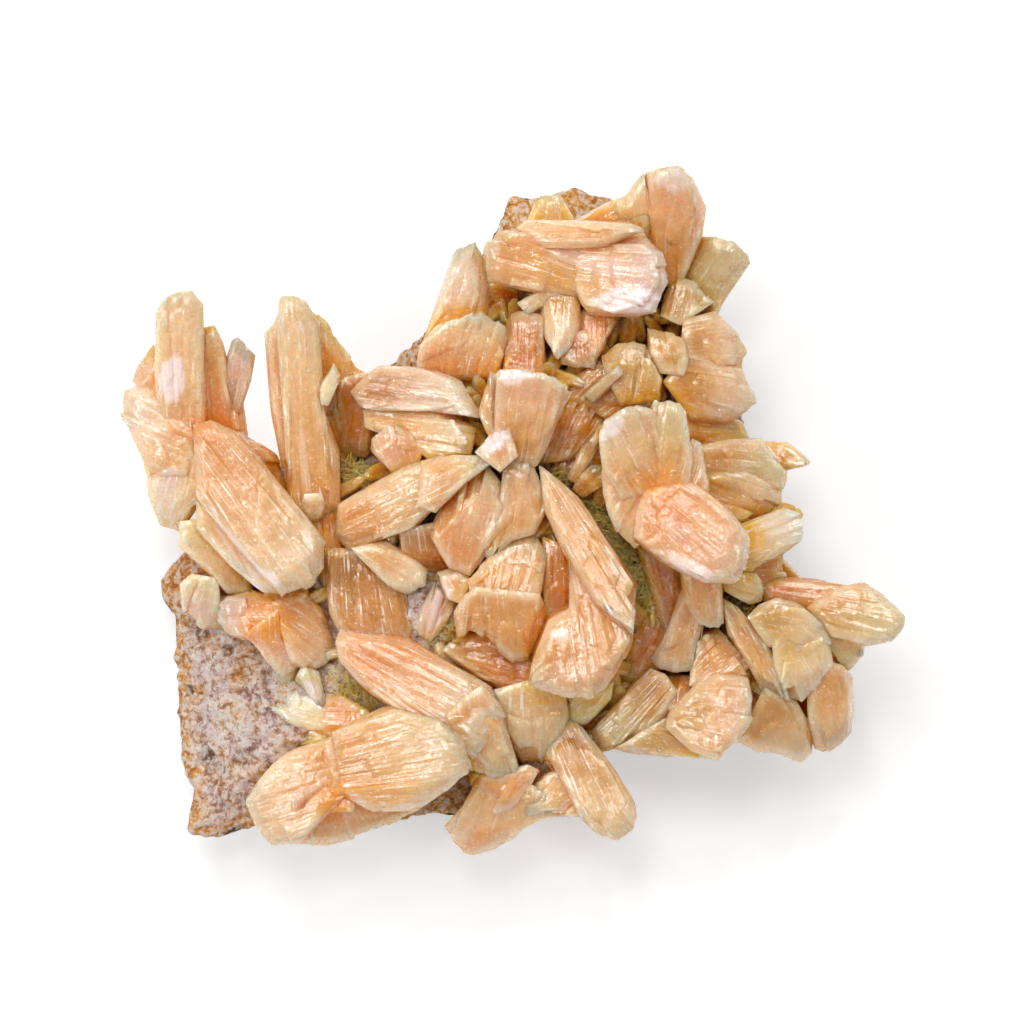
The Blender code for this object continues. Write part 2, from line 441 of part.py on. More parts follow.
def pink_fan():
    """Pink fan at the lower right: a broad blade, a flat lower one and narrow striated ones."""
    return [
        crystal([(26, -33.5), (31, -28), (34.3, -26.6), (39.5, -27.2), (40.3, -31), (40.2, -34.5),
                 (37.5, -38.4), (34.2, -41.4), (30, -40), (25.5, -36)],
                low=(27.5, -32.5, 30), high=(38.5, -34, 34), thick=9),
        crystal([(16.8, -39.5), (20, -37.6), (25, -34), (33, -35), (34.4, -41.5), (27, -41.1),
                 (20.5, -40.5)], low=(23, -36.5, 27.4), high=(33, -41, 24.4)),
        crystal([(30.4, -20), (35, -18.6), (38.8, -22.6), (40.6, -26.5), (39.5, -29), (33, -29),
                 (29.4, -29)], low=(31, -28, 30), high=(38, -22.5, 30.4), thick=9),
        crystal([(34.6, -14), (37.6, -15.8), (41, -19.8), (44.6, -25.4), (45.4, -31.2),
                 (41, -30), (39.4, -26), (36, -21)],
                low=(36.5, -16.5, 31), high=(43.5, -30, 30.6)),
        crystal([(25, -26.4), (30, -26.8), (31, -30), (27, -34), (23.6, -30)],
                low=(27, -33, 29), high=(28, -27, 29)),
    ]


def green_blades():
    """Yellow-green striated blades between the fan and the curved blade's end."""
    return [
        crystal([(25.6, -27), (27.6, -30), (25.4, -34.8), (21, -38.4), (15.2, -40.1), (12.8, -36.6),
                 (16, -33), (20.5, -27.8), (23, -26)],
                low=(24.5, -29, 29.6), high=(15.5, -39, 25.4), thick=9),
        crystal([(8.4, -30), (15, -29.4), (17, -28), (16.4, -31.5), (12.2, -35.8), (9.2, -34.6)],
                low=(14.5, -30, 29.6), high=(11, -34.5, 28)),
    ]


def yellow_blade():
    """Silky yellow blade at the bottom edge, with a rounded lobe at its left side."""
    return [
        crystal([(7, -37), (9.4, -34), (10.8, -34.8), (15.2, -40.2), (18.6, -45), (20.4, -48),
                 (20.9, -50.3), (20.3, -52.9), (17.6, -54.8), (14.4, -54.1), (11.5, -51.4),
                 (9, -46.5), (5, -41.4)], low=(9, -37, 27.6), high=(17, -54, 30), thick=9),
        crystal([(0.3, -49.5), (2.6, -46), (5.4, -43.7), (8.5, -42.6), (12.5, -47), (12.8, -51),
                 (7, -50.6), (2.2, -51)], low=(9, -44, 27), high=(1.5, -49.8, 25), thick=7),
    ]


def bottom_lobes():
    """Orange-cream lobes at the bottom edge."""
    return [
        crystal([(-11.5, -52.6), (-9.8, -55.4), (-8, -57.1), (-6.6, -57.5), (-3.4, -56.7),
                 (0, -55.1), (3.4, -51.8), (8, -50.9), (6, -47), (0, -43.4), (-5.5, -44),
                 (-8.2, -49)], low=(-2, -45, 26), high=(-6, -57, 19)),
        crystal([(-7.2, -43.4), (-1.8, -43.4), (2.6, -42), (5, -43.2), (2.6, -46.8), (0.4, -50),
                 (-3, -50.4), (-7, -47.4)], low=(1.5, -42.6, 27), high=(-3, -50, 25.6)),
        crystal([(1, -53.4), (3.4, -51.9), (5.2, -50.9), (11.8, -51), (12.5, -47), (3, -46)],
                low=(6, -46.5, 25), high=(4, -52.6, 21.4), thick=6),
    ]


# Each sheaf and its colour, from the topmost sheaf down to the deepest.
# A sheaf is cut back where one above it in this list stands against it.
SHEAVES = [
    ("stilbite_rosette", rosette, (0.88, 0.66, 0.46)),
    ("stilbite_broad_crystal", broad_crystal, (0.88, 0.68, 0.52)),
    ("stilbite_curved_blade", curved_blade, (0.86, 0.64, 0.42)),
    ("stilbite_arch", arch, (0.87, 0.62, 0.44)),
    ("stilbite_centre_pair", centre_pair, (0.86, 0.64, 0.46)),
    ("stilbite_centre_fan", centre_fan, (0.87, 0.63, 0.44)),
    ("stilbite_upper_sheaf", upper_sheaf, (0.90, 0.70, 0.55)),
    ("stilbite_hexagon_blade", hexagon_blade, (0.86, 0.63, 0.48)),
    ("stilbite_upper_right_lumps", upper_right_lumps, (0.85, 0.62, 0.40)),
    ("stilbite_honey_blades", honey_blades, (0.74, 0.45, 0.16)),
    ("stilbite_top_blade", top_blade, (0.87, 0.66, 0.50)),
    ("stilbite_silky_crystal", silky_crystal, (0.88, 0.74, 0.48)),
    ("stilbite_right_lump", right_lump, (0.80, 0.68, 0.42)),
    ("stilbite_grainy_lump", grainy_lump, (0.85, 0.70, 0.46)),
    ("stilbite_right_point", right_point, (0.85, 0.68, 0.42)),
    ("stilbite_pink_fan", pink_fan, (0.87, 0.64, 0.48)),
    ("stilbite_amber_plates", amber_plates, (0.80, 0.52, 0.22)),
    ("stilbite_green_blades", green_blades, (0.76, 0.66, 0.36)),
    ("stilbite_lower_bowtie", lower_bowtie, (0.90, 0.66, 0.46)),
    ("stilbite_long_blade", long_blade, (0.87, 0.58, 0.38)),
    ("stilbite_left_bowtie", left_bowtie, (0.89, 0.66, 0.48)),
    ("stilbite_tall_blade", tall_blade, (0.88, 0.64, 0.46)),
    ("stilbite_left_fan", left_fan, (0.88, 0.60, 0.36)),
    ("stilbite_small_wedges", small_wedges, (0.88, 0.66, 0.48)),
    ("stilbite_yellow_blade", yellow_blade, (0.87, 0.72, 0.46)),
    ("stilbite_bottom_lobes", bottom_lobes, (0.88, 0.64, 0.40)),
]


# Tools for shapes


def clear_scene():
    """Remove every object that the open file holds."""
    for old in list(bpy.data.objects):
        bpy.data.objects.remove(old, do_unlink=True)


def make_object(name, shape):
    """Turn a bmesh in millimetres into an object in metres and link it to the scene."""
    bmesh.ops.scale(shape, vec=(MM, MM, MM), verts=shape.verts)
    mesh = bpy.data.meshes.new(name)
    shape.to_mesh(mesh)
    shape.free()
    made = bpy.data.objects.new(name, mesh)
    bpy.context.scene.collection.objects.link(made)
    return made


def finish_material(made, colour, roughness):
    """Give an object its own material."""
    material = bpy.data.materials.new(made.name + "_finish")
    material.use_nodes = True
    shader = material.node_tree.nodes["Principled BSDF"]
    shader.inputs["Base Color"].default_value = (*colour, 1.0)
    shader.inputs["Roughness"].default_value = roughness
    made.data.materials.append(material)


def combine(target, others, operation):
    """Join others to target, or cut them out of it, and remove them."""
    group = bpy.data.collections.new("operands")
    for other in others:
        group.objects.link(other)
    change = target.modifiers.new("combine", "BOOLEAN")
    change.operation = operation
    change.operand_type = "COLLECTION"
    change.collection = group
    change.solver = "EXACT"
    depsgraph = bpy.context.evaluated_depsgraph_get()
    result = bpy.data.meshes.new_from_object(target.evaluated_get(depsgraph))
    target.modifiers.clear()
    target.data = result
    for other in others:
        bpy.data.objects.remove(other, do_unlink=True)
    bpy.data.collections.remove(group)


def islands(shape):
    """Groups of faces that hang together."""
    left = set(shape.faces)
    found = []
    while left:
        queue = [left.pop()]
        island = list(queue)
        while queue:
            face = queue.pop()
            for edge in face.edges:
                for near in edge.link_faces:
                    if near in left:
                        left.remove(near)
                        queue.append(near)
                        island.append(near)
        found.append(island)
    return found


def volume_of(faces):
    """Volume inside a closed group of faces."""
    total = 0.0
    for face in faces:
        corners = [vert.co for vert in face.verts]
        for second, third in zip(corners[1:-1], corners[2:]):
            total += corners[0].dot(second.cross(third)) / 6
    return total


def is_closed(shape):
    """Whether a mesh is one closed skin."""
    edges_meet = all(len(edge.link_faces) == 2 for edge in shape.edges)
    return edges_meet and all(vert.is_manifold for vert in shape.verts)


def main_body(mesh, strength):
    """The largest body of a mesh, with its slivers and its nearly flat edges dissolved."""
    shape = bmesh.new()
    shape.from_mesh(mesh)
    merge = MERGE_DISTANCE * MM * strength
    bmesh.ops.remove_doubles(shape, verts=shape.verts, dist=merge)
    bmesh.ops.dissolve_degenerate(shape, edges=shape.edges, dist=merge / 3)
    bmesh.ops.dissolve_limit(shape, angle_limit=math.radians(FLAT_ANGLE) * strength,
                             verts=shape.verts, edges=shape.edges)
    bodies = sorted(islands(shape), key=volume_of, reverse=True)
    for body in bodies[1:]:
        bmesh.ops.delete(shape, geom=body, context="FACES")
    bmesh.ops.triangulate(shape, faces=shape.faces)
    return shape


def clean(made):
    """Clean a mesh as strongly as it can be while its skin stays closed."""
    for strength in CLEANING:
        shape = main_body(made.data, strength)
        closed = is_closed(shape)
        if closed:
            shape.to_mesh(made.data)
        shape.free()
        if closed:
            return


# Rock and druse


def rock_radius(angle):
    """Distance from the middle to the rock's edge in one direction, seen from above."""
    ray = Vector((math.cos(angle), math.sin(angle)))
    reach = 0.0
    for start, end in zip(ROCK_PLAN, ROCK_PLAN[1:] + ROCK_PLAN[:1]):
        start = Vector(start)
        side = Vector(end) - start
        cross = ray.x * side.y - ray.y * side.x
        if abs(cross) < 1e-9:
            continue
        along = (start.x * side.y - start.y * side.x) / cross
        share = (start.x * ray.y - start.y * ray.x) / cross
        if along > 0 and -0.001 <= share <= 1.001:
            reach = max(reach, along)
    return reach


def rock_shape(spread=0.0):
    """The rock as a domed slab with a flat underside; spread moves its sides outwards."""
    shape = bmesh.new()
    bmesh.ops.create_uvsphere(shape, u_segments=ROCK_SEGMENTS, v_segments=ROCK_RINGS, radius=1.0)
    top = shape.verts.layers.int.new("top")
    for vert in shape.verts:
        angle = math.atan2(vert.co.y, vert.co.x)
        polar = math.acos(max(-1.0, min(1.0, vert.co.z))) / math.pi
        out = min(1.0, polar / TOP_SHARE)
        under = max(0.0, polar - TOP_SHARE) / (1 - TOP_SHARE)
        edge = Vector((math.cos(angle), math.sin(angle), 0.0)) * rock_radius(angle)
        ray = edge.normalized() * spread
        place = (edge + ray) * out * (1 - UNDERCUT * under)
        lump = noise.noise(edge * out / LUMP_SPACING + Vector((0, 0, 7 + 3 * under)))
        rim = RIM_HEIGHT * (1 + RIM_WAVE * noise.noise(edge / RIM_SPACING))
        if under > 0:
            place *= 1 + SIDE_LUMPS * lump
            place.z = rim * (1 - SIDE_DROP * under)
        else:
            vert[top] = 1
            place.z = rim + (CROWN_HEIGHT - rim) * (1 - out ** DOME_POWER) + LUMP_HEIGHT * lump
        vert.co = place
    cut = bmesh.ops.bisect_plane(
        shape, geom=shape.verts[:] + shape.edges[:] + shape.faces[:],
        plane_co=(0, 0, 0), plane_no=(0, 0, -1), clear_outer=True)
    edges = [item for item in cut["geom_cut"] if isinstance(item, bmesh.types.BMEdge)]
    bmesh.ops.contextual_create(shape, geom=edges)
    bmesh.ops.recalc_face_normals(shape, faces=shape.faces)
    bmesh.ops.triangulate(shape, faces=shape.faces, quad_method="FIXED")
    return shape


def druse_thickness(place):
    """Thickness of the druse over a point of the rock."""
    return CRUST_THICKNESS * (1 + 0.5 * noise.noise(Vector((place.x, place.y, 40)) / 4))


def crust_shape():
    """The druse: a lumpy layer that lies on the top of the rock."""
    shape = rock_shape()
    top = shape.verts.layers.int["top"]
    below = [face for face in shape.faces if not all(vert[top] for vert in face.verts)]
    bmesh.ops.delete(shape, geom=below, context="FACES")
    bmesh.ops.translate(shape, vec=(0, 0, GAP), verts=shape.verts)
    raised = bmesh.ops.extrude_face_region(shape, geom=shape.faces[:])
    for item in raised["geom"]:
        if isinstance(item, bmesh.types.BMVert):
            item.co.z += druse_thickness(item.co)
    bmesh.ops.recalc_face_normals(shape, faces=shape.faces)
    return shape


def ground_shape():
    """Rock and druse with clearance all round, to cut the crystals' roots off."""
    shape = rock_shape(spread=SIDE_CLEARANCE)
    top = shape.verts.layers.int["top"]
    for vert in shape.verts:
        if vert[top]:
            vert.co.z += 2.6 * GAP + druse_thickness(vert.co)
        elif vert.co.z <= 0:
            vert.co.z -= 1
    return shape


# Crystals


def plan_area(outline):
    """Area of a crystal's plan."""
    turns = zip(outline, outline[1:] + outline[:1])
    return abs(sum(a[0] * b[1] - b[0] * a[1] for a, b in turns)) / 2


def foot_height(item):
    """Height of a crystal's back at its root."""
    if item.foot is not None:
        return item.foot
    root = item.low.to_2d()
    out = root.length / rock_radius(math.atan2(root.y, root.x))
    if out > 1:
        return item.low.z - FREE_DEPTH
    dome = RIM_HEIGHT + (CROWN_HEIGHT - RIM_HEIGHT) * (1 - out ** DOME_POWER)
    return min(dome - ROOT_DEPTH, item.low.z - item.thick)


def crystal_shape(item, grow=0.0):
    """A crystal as a wedge: a broad face with a bevelled rim, and a back that runs to its root."""
    root = item.low.to_2d()
    run = (item.high - item.low).to_2d()
    foot = foot_height(item)
    area = plan_area(item.outline)
    bevel = BEVEL_SHARE * math.sqrt(area) if area > BEVELLED_AREA else 0.0

    def sloping(point, start, end):
        """Height over a point of the plan on a slope that is start at the root and end at the tip."""
        return start + (end - start) * (point - root).dot(run) / run.length_squared

    shape = bmesh.new()
    rim = []
    for corner in item.outline:
        point = Vector(corner)
        height = sloping(point, item.low.z, item.high.z) - BEVEL_SLOPE * bevel
        rim.append(shape.verts.new((point.x, point.y, height)))
    broad = shape.faces.new(rim)
    broad.normal_update()
    if broad.normal.z < 0:
        broad.normal_flip()
    back = bmesh.ops.extrude_face_region(shape, geom=[broad])
    for vert in back["geom"]:
        if isinstance(vert, bmesh.types.BMVert):
            point = root + (vert.co.to_2d() - root) * (1 - item.shrink)
            height = sloping(point, foot, item.high.z - item.thick)
            vert.co = Vector((point.x, point.y, height))
    bmesh.ops.recalc_face_normals(shape, faces=shape.faces)
    if bevel:
        broad = max(shape.faces, key=lambda face: face.calc_center_median().z)
        bmesh.ops.inset_region(shape, faces=[broad], thickness=bevel,
                               depth=BEVEL_SLOPE * bevel, use_even_offset=True)
    if grow:
        for vert in shape.verts:
            vert.normal_update()
        moves = [vert.normal * vert.calc_shell_factor() * grow for vert in shape.verts]
        for vert, move in zip(shape.verts, moves):
            vert.co += move
    return shape


def box_of(item, margin):
    """Lowest and highest corner of a crystal's plan."""
    across = [corner[0] for corner in item.outline]
    along = [corner[1] for corner in item.outline]
    return min(across) - margin, max(across) + margin, min(along) - margin, max(along) + margin


def near(item, others):
    """Whether a crystal's plan comes close to that of any other."""
    left, right, front, back = box_of(item, GAP)
    for other in others:
        low_x, high_x, low_y, high_y = box_of(other, GAP)
        if left < high_x and low_x < right and front < high_y and low_y < back:
            return True
    return False


def build_sheaf(name, crystals, above):
    """Join a sheaf's crystals, then cut off their roots and what stands against sheaves above."""
    pieces = [make_object(name, crystal_shape(item)) for item in crystals]
    sheaf = pieces[0]
    sheaf.name = name
    if pieces[1:]:
        combine(sheaf, pieces[1:], "UNION")
    cutters = [make_object("ground", ground_shape())]
    for item in above:
        if near(item, crystals):
            cutters.append(make_object("neighbour", crystal_shape(item, grow=1.2 * GAP)))
    combine(sheaf, cutters, "DIFFERENCE")
    clean(sheaf)
    return sheaf


def build():
    """Model the whole specimen."""
    clear_scene()
    finish_material(make_object("basalt_matrix", rock_shape()), ROCK_COLOUR, 0.9)
    finish_material(make_object("mordenite_crust", crust_shape()), CRUST_COLOUR, 0.8)
    above = []
    for name, sheaf, colour in SHEAVES:
        crystals = sheaf()
        finish_material(build_sheaf(name, crystals, above), colour, 0.3)
        above.extend(crystals)


build()
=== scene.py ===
"""Looks of the stilbite with mordenite: striated, translucent crystals, druse, needles and rock.

Dimensions in the tables are millimetres, as seen from above: X to the right, Y to the back.
"""

import itertools
import math
import random
from collections import namedtuple

import bmesh
import bpy
import numpy as np
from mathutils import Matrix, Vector, kdtree, noise
from mathutils.bvhtree import BVHTree


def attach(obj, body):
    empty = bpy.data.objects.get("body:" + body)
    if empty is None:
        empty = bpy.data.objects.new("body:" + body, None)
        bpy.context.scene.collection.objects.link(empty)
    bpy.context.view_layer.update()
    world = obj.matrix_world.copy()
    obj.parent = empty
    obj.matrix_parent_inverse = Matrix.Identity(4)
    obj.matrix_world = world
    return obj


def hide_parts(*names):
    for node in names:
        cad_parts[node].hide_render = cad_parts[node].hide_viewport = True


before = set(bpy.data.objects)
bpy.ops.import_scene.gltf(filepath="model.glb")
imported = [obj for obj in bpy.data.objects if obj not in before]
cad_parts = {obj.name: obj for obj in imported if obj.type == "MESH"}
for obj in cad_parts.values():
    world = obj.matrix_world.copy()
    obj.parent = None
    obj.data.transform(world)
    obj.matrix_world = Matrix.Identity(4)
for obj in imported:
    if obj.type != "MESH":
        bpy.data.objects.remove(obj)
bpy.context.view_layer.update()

MM = 0.001                # a millimetre in metres

# Fineness of the meshes, in millimetres
COLUMN = 0.40      # across a crystal's laths
ROW = 0.75         # along them
LAYER = 1.3        # down a crystal's walls
CRUST_VOXEL = 0.54  # on the druse
ROCK_VOXEL = 0.9   # on the rock
MERGE = 0.01                              # corners of a solid closer than this are one
SECTORS = 180                             # sectors in which the druse's edge is looked for

# Angles between faces, in degrees, over which an edge stays sharp
CRYSTAL_EDGE = 38
NO_EDGE = 180

# Shape of the crystals and of the rock that they stand on
ROCK_CROWN = 26.0         # height of the rock's top at its middle
ROCK_RIM = 10.0           # height of its top at the edge
DOME_POWER = 2.2          # how full its dome is
ROCK_REACH = 55.0         # mean distance from the rock's middle to its edge
ROOT_DEPTH = 1.5          # how far the roots reach below the top of the rock
FREE_DEPTH = 11.0         # depth of a root that stands out past the rock's edge
BEVEL_SHARE = 0.08        # bevel on a crystal's rim, as a share of its breadth
BEVEL_SLOPE = 0.8         # fall of that bevel for each millimetre of its width
BEVEL_BOW = 1.3           # how much the bevel rounds over
ROOF_FALL = 1.3           # most that a broad face's flanks fall
LEFT_FLANK = (0.15, 0.45)      # where the left flank begins, as a share of the breadth
RIGHT_FLANK = (0.60, 0.85)     # where the right flank begins
END_BACK = (1.2, 4.2)     # length of the facet that ends a crystal
END_SLOPE = (0.25, 0.75)  # its fall for each millimetre
LATH_WIDTHS = (0.9, 4.0)  # narrowest and widest lath
LATH_DROP = 0.26          # most that a lath lies lower than the next
LATH_ROLL = 0.07          # typical roll of a lath about its length
LATH_RETREAT = 0.9        # most that a lath ends short
TIP_NICKS = 0.25          # fine nicks along the end
TERRACE_DROP = 0.26       # height of a growth step along the rim
TERRACE_WIDTHS = (1.2, 3.6)    # distance of a growth step from the rim
STRIAE = 0.09             # depth of the lengthwise striations
SWELL = 0.30              # height of the low lumps on a face
CHIPS = 0.3               # depth of the chips along the rim
PLATE_RELIEF = 0.22       # how far the plates stand out of the walls
GROWTH_AREA = 36.0        # broad face that carries one raised lath
GROWTH_MOST = 5           # most raised laths on a crystal
GROWTH_WIDTHS = (0.18, 0.50)   # their breadth, as a share of the crystal's
GROWTH_RISES = (0.08, 0.36)    # how far they stand proud of its face
GROWTH_PITCH = 0.3        # most that their free end dips or rises
GROWTH_THICK = 2.5        # their thickness

# Seeds of the random draws, and the steps between them
SHEAF_SEED = 10.0
CRYSTAL_SEED = 0.37
GROWTH_SEED = 0.011
BED_SEED = 400.0
BED_DRAWS = 11
NEEDLE_DRAWS = 7

# Multipliers that mix a lattice point's three numbers into one
SCRAMBLE = np.array([73856093, 19349663, 83492791])
SCATTER = 1274126177

# Crevices between the crystals
CELL = 2.0                # cell of the map of the crystals' tops
CELLS = 76                # cells along its side
CROWN_BLURS = 3           # times that the map is spread to the cells beside each cell
CROWN_WEIGHT = 50         # least weight, of 125, at which the map has crystals near a cell
BED_REACH = 65.0          # half the width of the square in which crevices are looked for
BED_SPACING = 1.9         # distance between the small crystals of the bed
BED_LENGTHS = (4.5, 8.5)  # shortest and longest of them
BED_WIDTHS = (1.6, 3.4)   # narrowest and widest
BED_RISE = 0.82           # how far they reach up to the large crystals' tops
BED_RING = 4.5            # distance at which large crystals must stand around them
RING_POINTS = 8           # points of that ring that are looked at
RING_COVERED = 6          # points of it that must lie under large crystals
CREVICE_DEPTH = 4         # least depth of a crevice that has small crystals
SKY = 0.2                 # height in metres from which surfaces are looked for

# Mordenite needles
NEEDLE_BATCH = 40             # needles shaped together
NEEDLE_RADII = (0.06, 0.12)   # thinnest and thickest at the foot
NEEDLE_TIP = 0.015            # radius of the point
NEEDLE_LENGTHS = (1.8, 4.2)   # shortest and longest
NEEDLE_LEAN = 0.7             # typical lean, as a slope

# Each slot of stilbite: how far light spreads in it, in millimetres, and its roughness
FINISHES = {
    "stilbite_peach": (5.0, 0.22),
    "stilbite_pink": (5.0, 0.20),
    "stilbite_cream": (5.5, 0.20),
    "stilbite_amber": (5.5, 0.24),
    "stilbite_green": (5.5, 0.22),
}

# Floor, light and camera
FLOOR_HALF = 2500.0       # half the width of the floor
FLOOR_DROP = 0.2          # distance of the floor below the rock
FLOOR_GREY = 0.66         # its colour
FLOOR_GLOW = 0.42         # its own light
ROOM_LIGHT = 0.395        # strength of the light from all sides
AIM_HEIGHT = 0.03         # height that the lights shine at, in metres
CAMERA_HEIGHT = 2500.0    # of the camera above the rock's underside
VIEW_LEVEL = 25.0         # level at which the picture has its scale
VIEW_WIDTH = 1024 / 6     # width of the picture there, at six pixels to the millimetre
SENSOR = 36.0             # width of the camera's sensor
FAR_CLIP = 20             # farthest that the camera sees, in metres

# Large soft lights: name, place in metres, size, power and colour
LIGHTS = [
    ("window", (-0.25, 0.85, 1.0), 0.45, 4.5, (1.0, 0.98, 0.97)),
    ("ceiling", (-0.30, 0.70, 2.4), 0.6, 10.3, (1, 1, 1)),
    ("left", (-0.85, -0.10, 0.75), 0.35, 3.2, (1.0, 0.96, 0.97)),
]

# Small lamps that make the crystals sparkle: turn in degrees, height and power
LAMPS = [(80, 1.05, 1.6), (125, 1.3, 0.9), (100, 1.9, 0.9), (60, 0.75, 0.7), (35, 0.9, 0.5),
         (150, 0.9, 0.6), (200, 1.0, 0.5), (265, 1.1, 0.4), (320, 0.9, 0.4)]
LAMP_RING = 0.8           # their distance from the specimen's axis, in metres
LAMP_SIZE = 0.09          # their width, in metres


def shade(red, green, blue):
    """A colour given as it looks on a screen, from 0 to 255, as a shader's colour."""
    def line(value):
        value /= 255
        return value / 12.92 if value <= 0.04045 else ((value + 0.055) / 1.055) ** 2.4
    return np.array([line(red), line(green), line(blue)])


PALETTE = {
    "white": shade(246, 230, 216),
    # painted pearly sheen of facets
    "painted_sheen": shade(250, 230, 230),
    # painted glow along the thin rims
    "painted rim glow": shade(252, 236, 212),
    "pale": shade(242, 212, 180),
    "cream": shade(238, 210, 168),
    "yellow": shade(234, 204, 132),
    "green": shade(220, 206, 162),
    "grey": shade(212, 200, 166),
    "lilac": shade(232, 204, 198),
    "orchid": shade(240, 182, 170),
    "pink": shade(238, 194, 154),
    "rose": shade(232, 172, 138),
    "salmon": shade(234, 168, 112),
    "peach": shade(232, 178, 114),
    "apricot": shade(228, 166, 92),
    "orange": shade(224, 140, 50),
    "flame": shade(236, 156, 40),
    "gold": shade(236, 172, 88),
    "honey": shade(214, 160, 70),
    "amber": shade(206, 134, 30),
    "tan": shade(212, 174, 104),
    "brown": shade(198, 140, 66),
    "mauve": shade(180, 146, 136),
    "moss": shade(214, 190, 104),
    "earth": shade(124, 90, 64),
    "black": shade(38, 28, 22),
    # painted glints along the laths
    "painted glint": shade(255, 240, 220),
    # white of the druse's grains, with a painted highlight on their crests
    "white grain and highlight": shade(255, 242, 232),
    "druse stain": shade(222, 160, 84),
    "basalt": shade(58, 46, 38),
    "worn basalt": shade(92, 74, 60),
    "rusty basalt": shade(150, 112, 76),
    "vesicle filling": shade(160, 136, 108),
    "fibre": shade(226, 190, 78),
    "fibre sheen": shade(252, 236, 160),
}

# A root is deeper in colour than its name says and a tip a little. A hollow of the druse gets painted
# shade, and a crevice painted shade and a warm glow, as where light bounces between the crystals
ROOT_TINT = np.array([0.88, 0.78, 0.50])
TIP_TINT = np.array([1.0, 0.94, 0.84])
PAINTED_HOLLOW_SHADE = np.array([0.46, 0.30, 0.22])
PAINTED_CREVICE_TINT = np.array([1.0, 0.70, 0.08])
PAINTED_CREVICE_GLOW = np.array([0.08, 0.045, 0.0])
PAINTED_CREVICE_SHARE = 0.92

# Colours of the small crystals in the crevices, at their roots and tips
BED_COLOURS = (("amber", "apricot"), ("orange", "peach"), ("honey", "peach"), ("brown", "salmon"))

Crystal = namedtuple("Crystal",
                     "root tip outline low high thick foot shrink silk lumps clear fan flat")


def crystal(root, tip, outline, low, high, thick=7, foot=None, shrink=0.16, silk=0.5, lumps=0.4,
            clear=0.15, fan=34.0, flat=False):
    """A tabular crystal: colours at its root and tip, the plan of its broad face, and its ends.

    low is the end at its root and high the free end, each as (x, y, height). thick is the
    thickness at the free end, foot the height of its back at the root, and shrink how much the
    back narrows towards the root. silk is the strength of its striations, lumps that of its
    unevenness, clear how much light goes straight through, and fan how far behind the crystal
    its laths would meet. A flat one has neither falling flanks nor a facet at its end.
    """
    return Crystal(root, tip, outline, Vector(low), Vector(high), thick, foot, shrink, silk,
                   lumps, clear, fan, flat)


# Sheaves of crystals


def left_bowtie():
    """Sheaf at the far left that spreads up, left, down and to the right from its waist."""
    return [
        crystal("pink", "cream", [(-59.6, 13), (-59.3, 33.5), (-57, 36.8), (-53, 37), (-51.2, 34.5),
            (-50.5, 13)], low=(-54.5, 12, 31), high=(-55.5, 37, 38), foot=22, silk=0.9),
        crystal("orange", "honey", [(-51.8, 30.5), (-49.5, 31.2), (-47.6, 27.5), (-47, 20), (-44.5, 13.5),
            (-51, 12)], low=(-49, 13, 28), high=(-50, 31, 33.5), thick=6, foot=20),
        crystal("peach", "lilac", [(-63.6, 22.5), (-62.7, 24.8), (-60, 28.6), (-57.5, 27), (-56, 17),
            (-60, 15)], low=(-57, 16, 29), high=(-62, 26, 30), thick=6, foot=22),
        crystal("pink", "white", [(-65.2, 20.6), (-65.3, 16.2), (-60.5, 6), (-54, 6), (-52, 13),
            (-60.5, 22)], low=(-53, 12, 32), high=(-65, 18, 32), foot=21),
        crystal("white", "white", [(-61.5, 8), (-60.8, 2), (-58.7, -2.6), (-55.2, -3.6), (-50, 4),
            (-54, 13)], low=(-53, 12, 32.5), high=(-57, -3, 27), foot=21, silk=0.8),
        crystal("brown", "lilac", [(-50, 18), (-46.6, 28.8), (-45.5, 29.3), (-42.4, 26.2), (-43.6, 21),
            (-45.5, 16)], low=(-47.5, 15, 27), high=(-44.5, 28, 32), thick=5, foot=20, clear=0.3),
        crystal("amber", "amber", [(-49, 21), (-44.8, 20), (-43.8, 13), (-45.5, 8), (-51, 9)],
            low=(-48, 10, 28), high=(-46, 20, 26), thick=6, foot=20),
        crystal("apricot", "cream", [(-53, 14.5), (-50, 15.3), (-45, 13), (-37.5, 3.6), (-30.6, -5),
            (-30.7, -10.2), (-33.3, -13), (-38, -14.6), (-45, -7), (-52.5, 2)], low=(-50, 11, 34),
            high=(-33, -10, 36), thick=12, foot=21, silk=0.9),
        crystal("amber", "amber", [(-45.5, 13.8), (-39, 9.6), (-37, 4), (-40, -1), (-48, 8)],
            low=(-45, 8, 30), high=(-38.5, 7, 28), foot=18),
        crystal("pink", "white", [(-52.5, 2), (-49.5, -0.5), (-41, -8), (-37.6, -14), (-41.5, -13.6),
            (-47, -9), (-52.5, -3)], low=(-50, 2, 31), high=(-42, -12, 30), thick=9),
        crystal("white", "pink", [(-55.4, -1.5), (-50, -1), (-44, -9), (-42.5, -14.2), (-47.5, -13.8),
            (-51, -10.4), (-55.6, -6)], low=(-52, -2, 28), high=(-46, -13, 24)),
        crystal("white", "lilac", [(-55.6, -12), (-53.4, -10.3), (-49, -11), (-48.2, -19.4), (-52, -19.8),
            (-55.2, -16.5)], low=(-50, -11, 24), high=(-53, -19, 19.5), thick=6, silk=0.8),
    ]


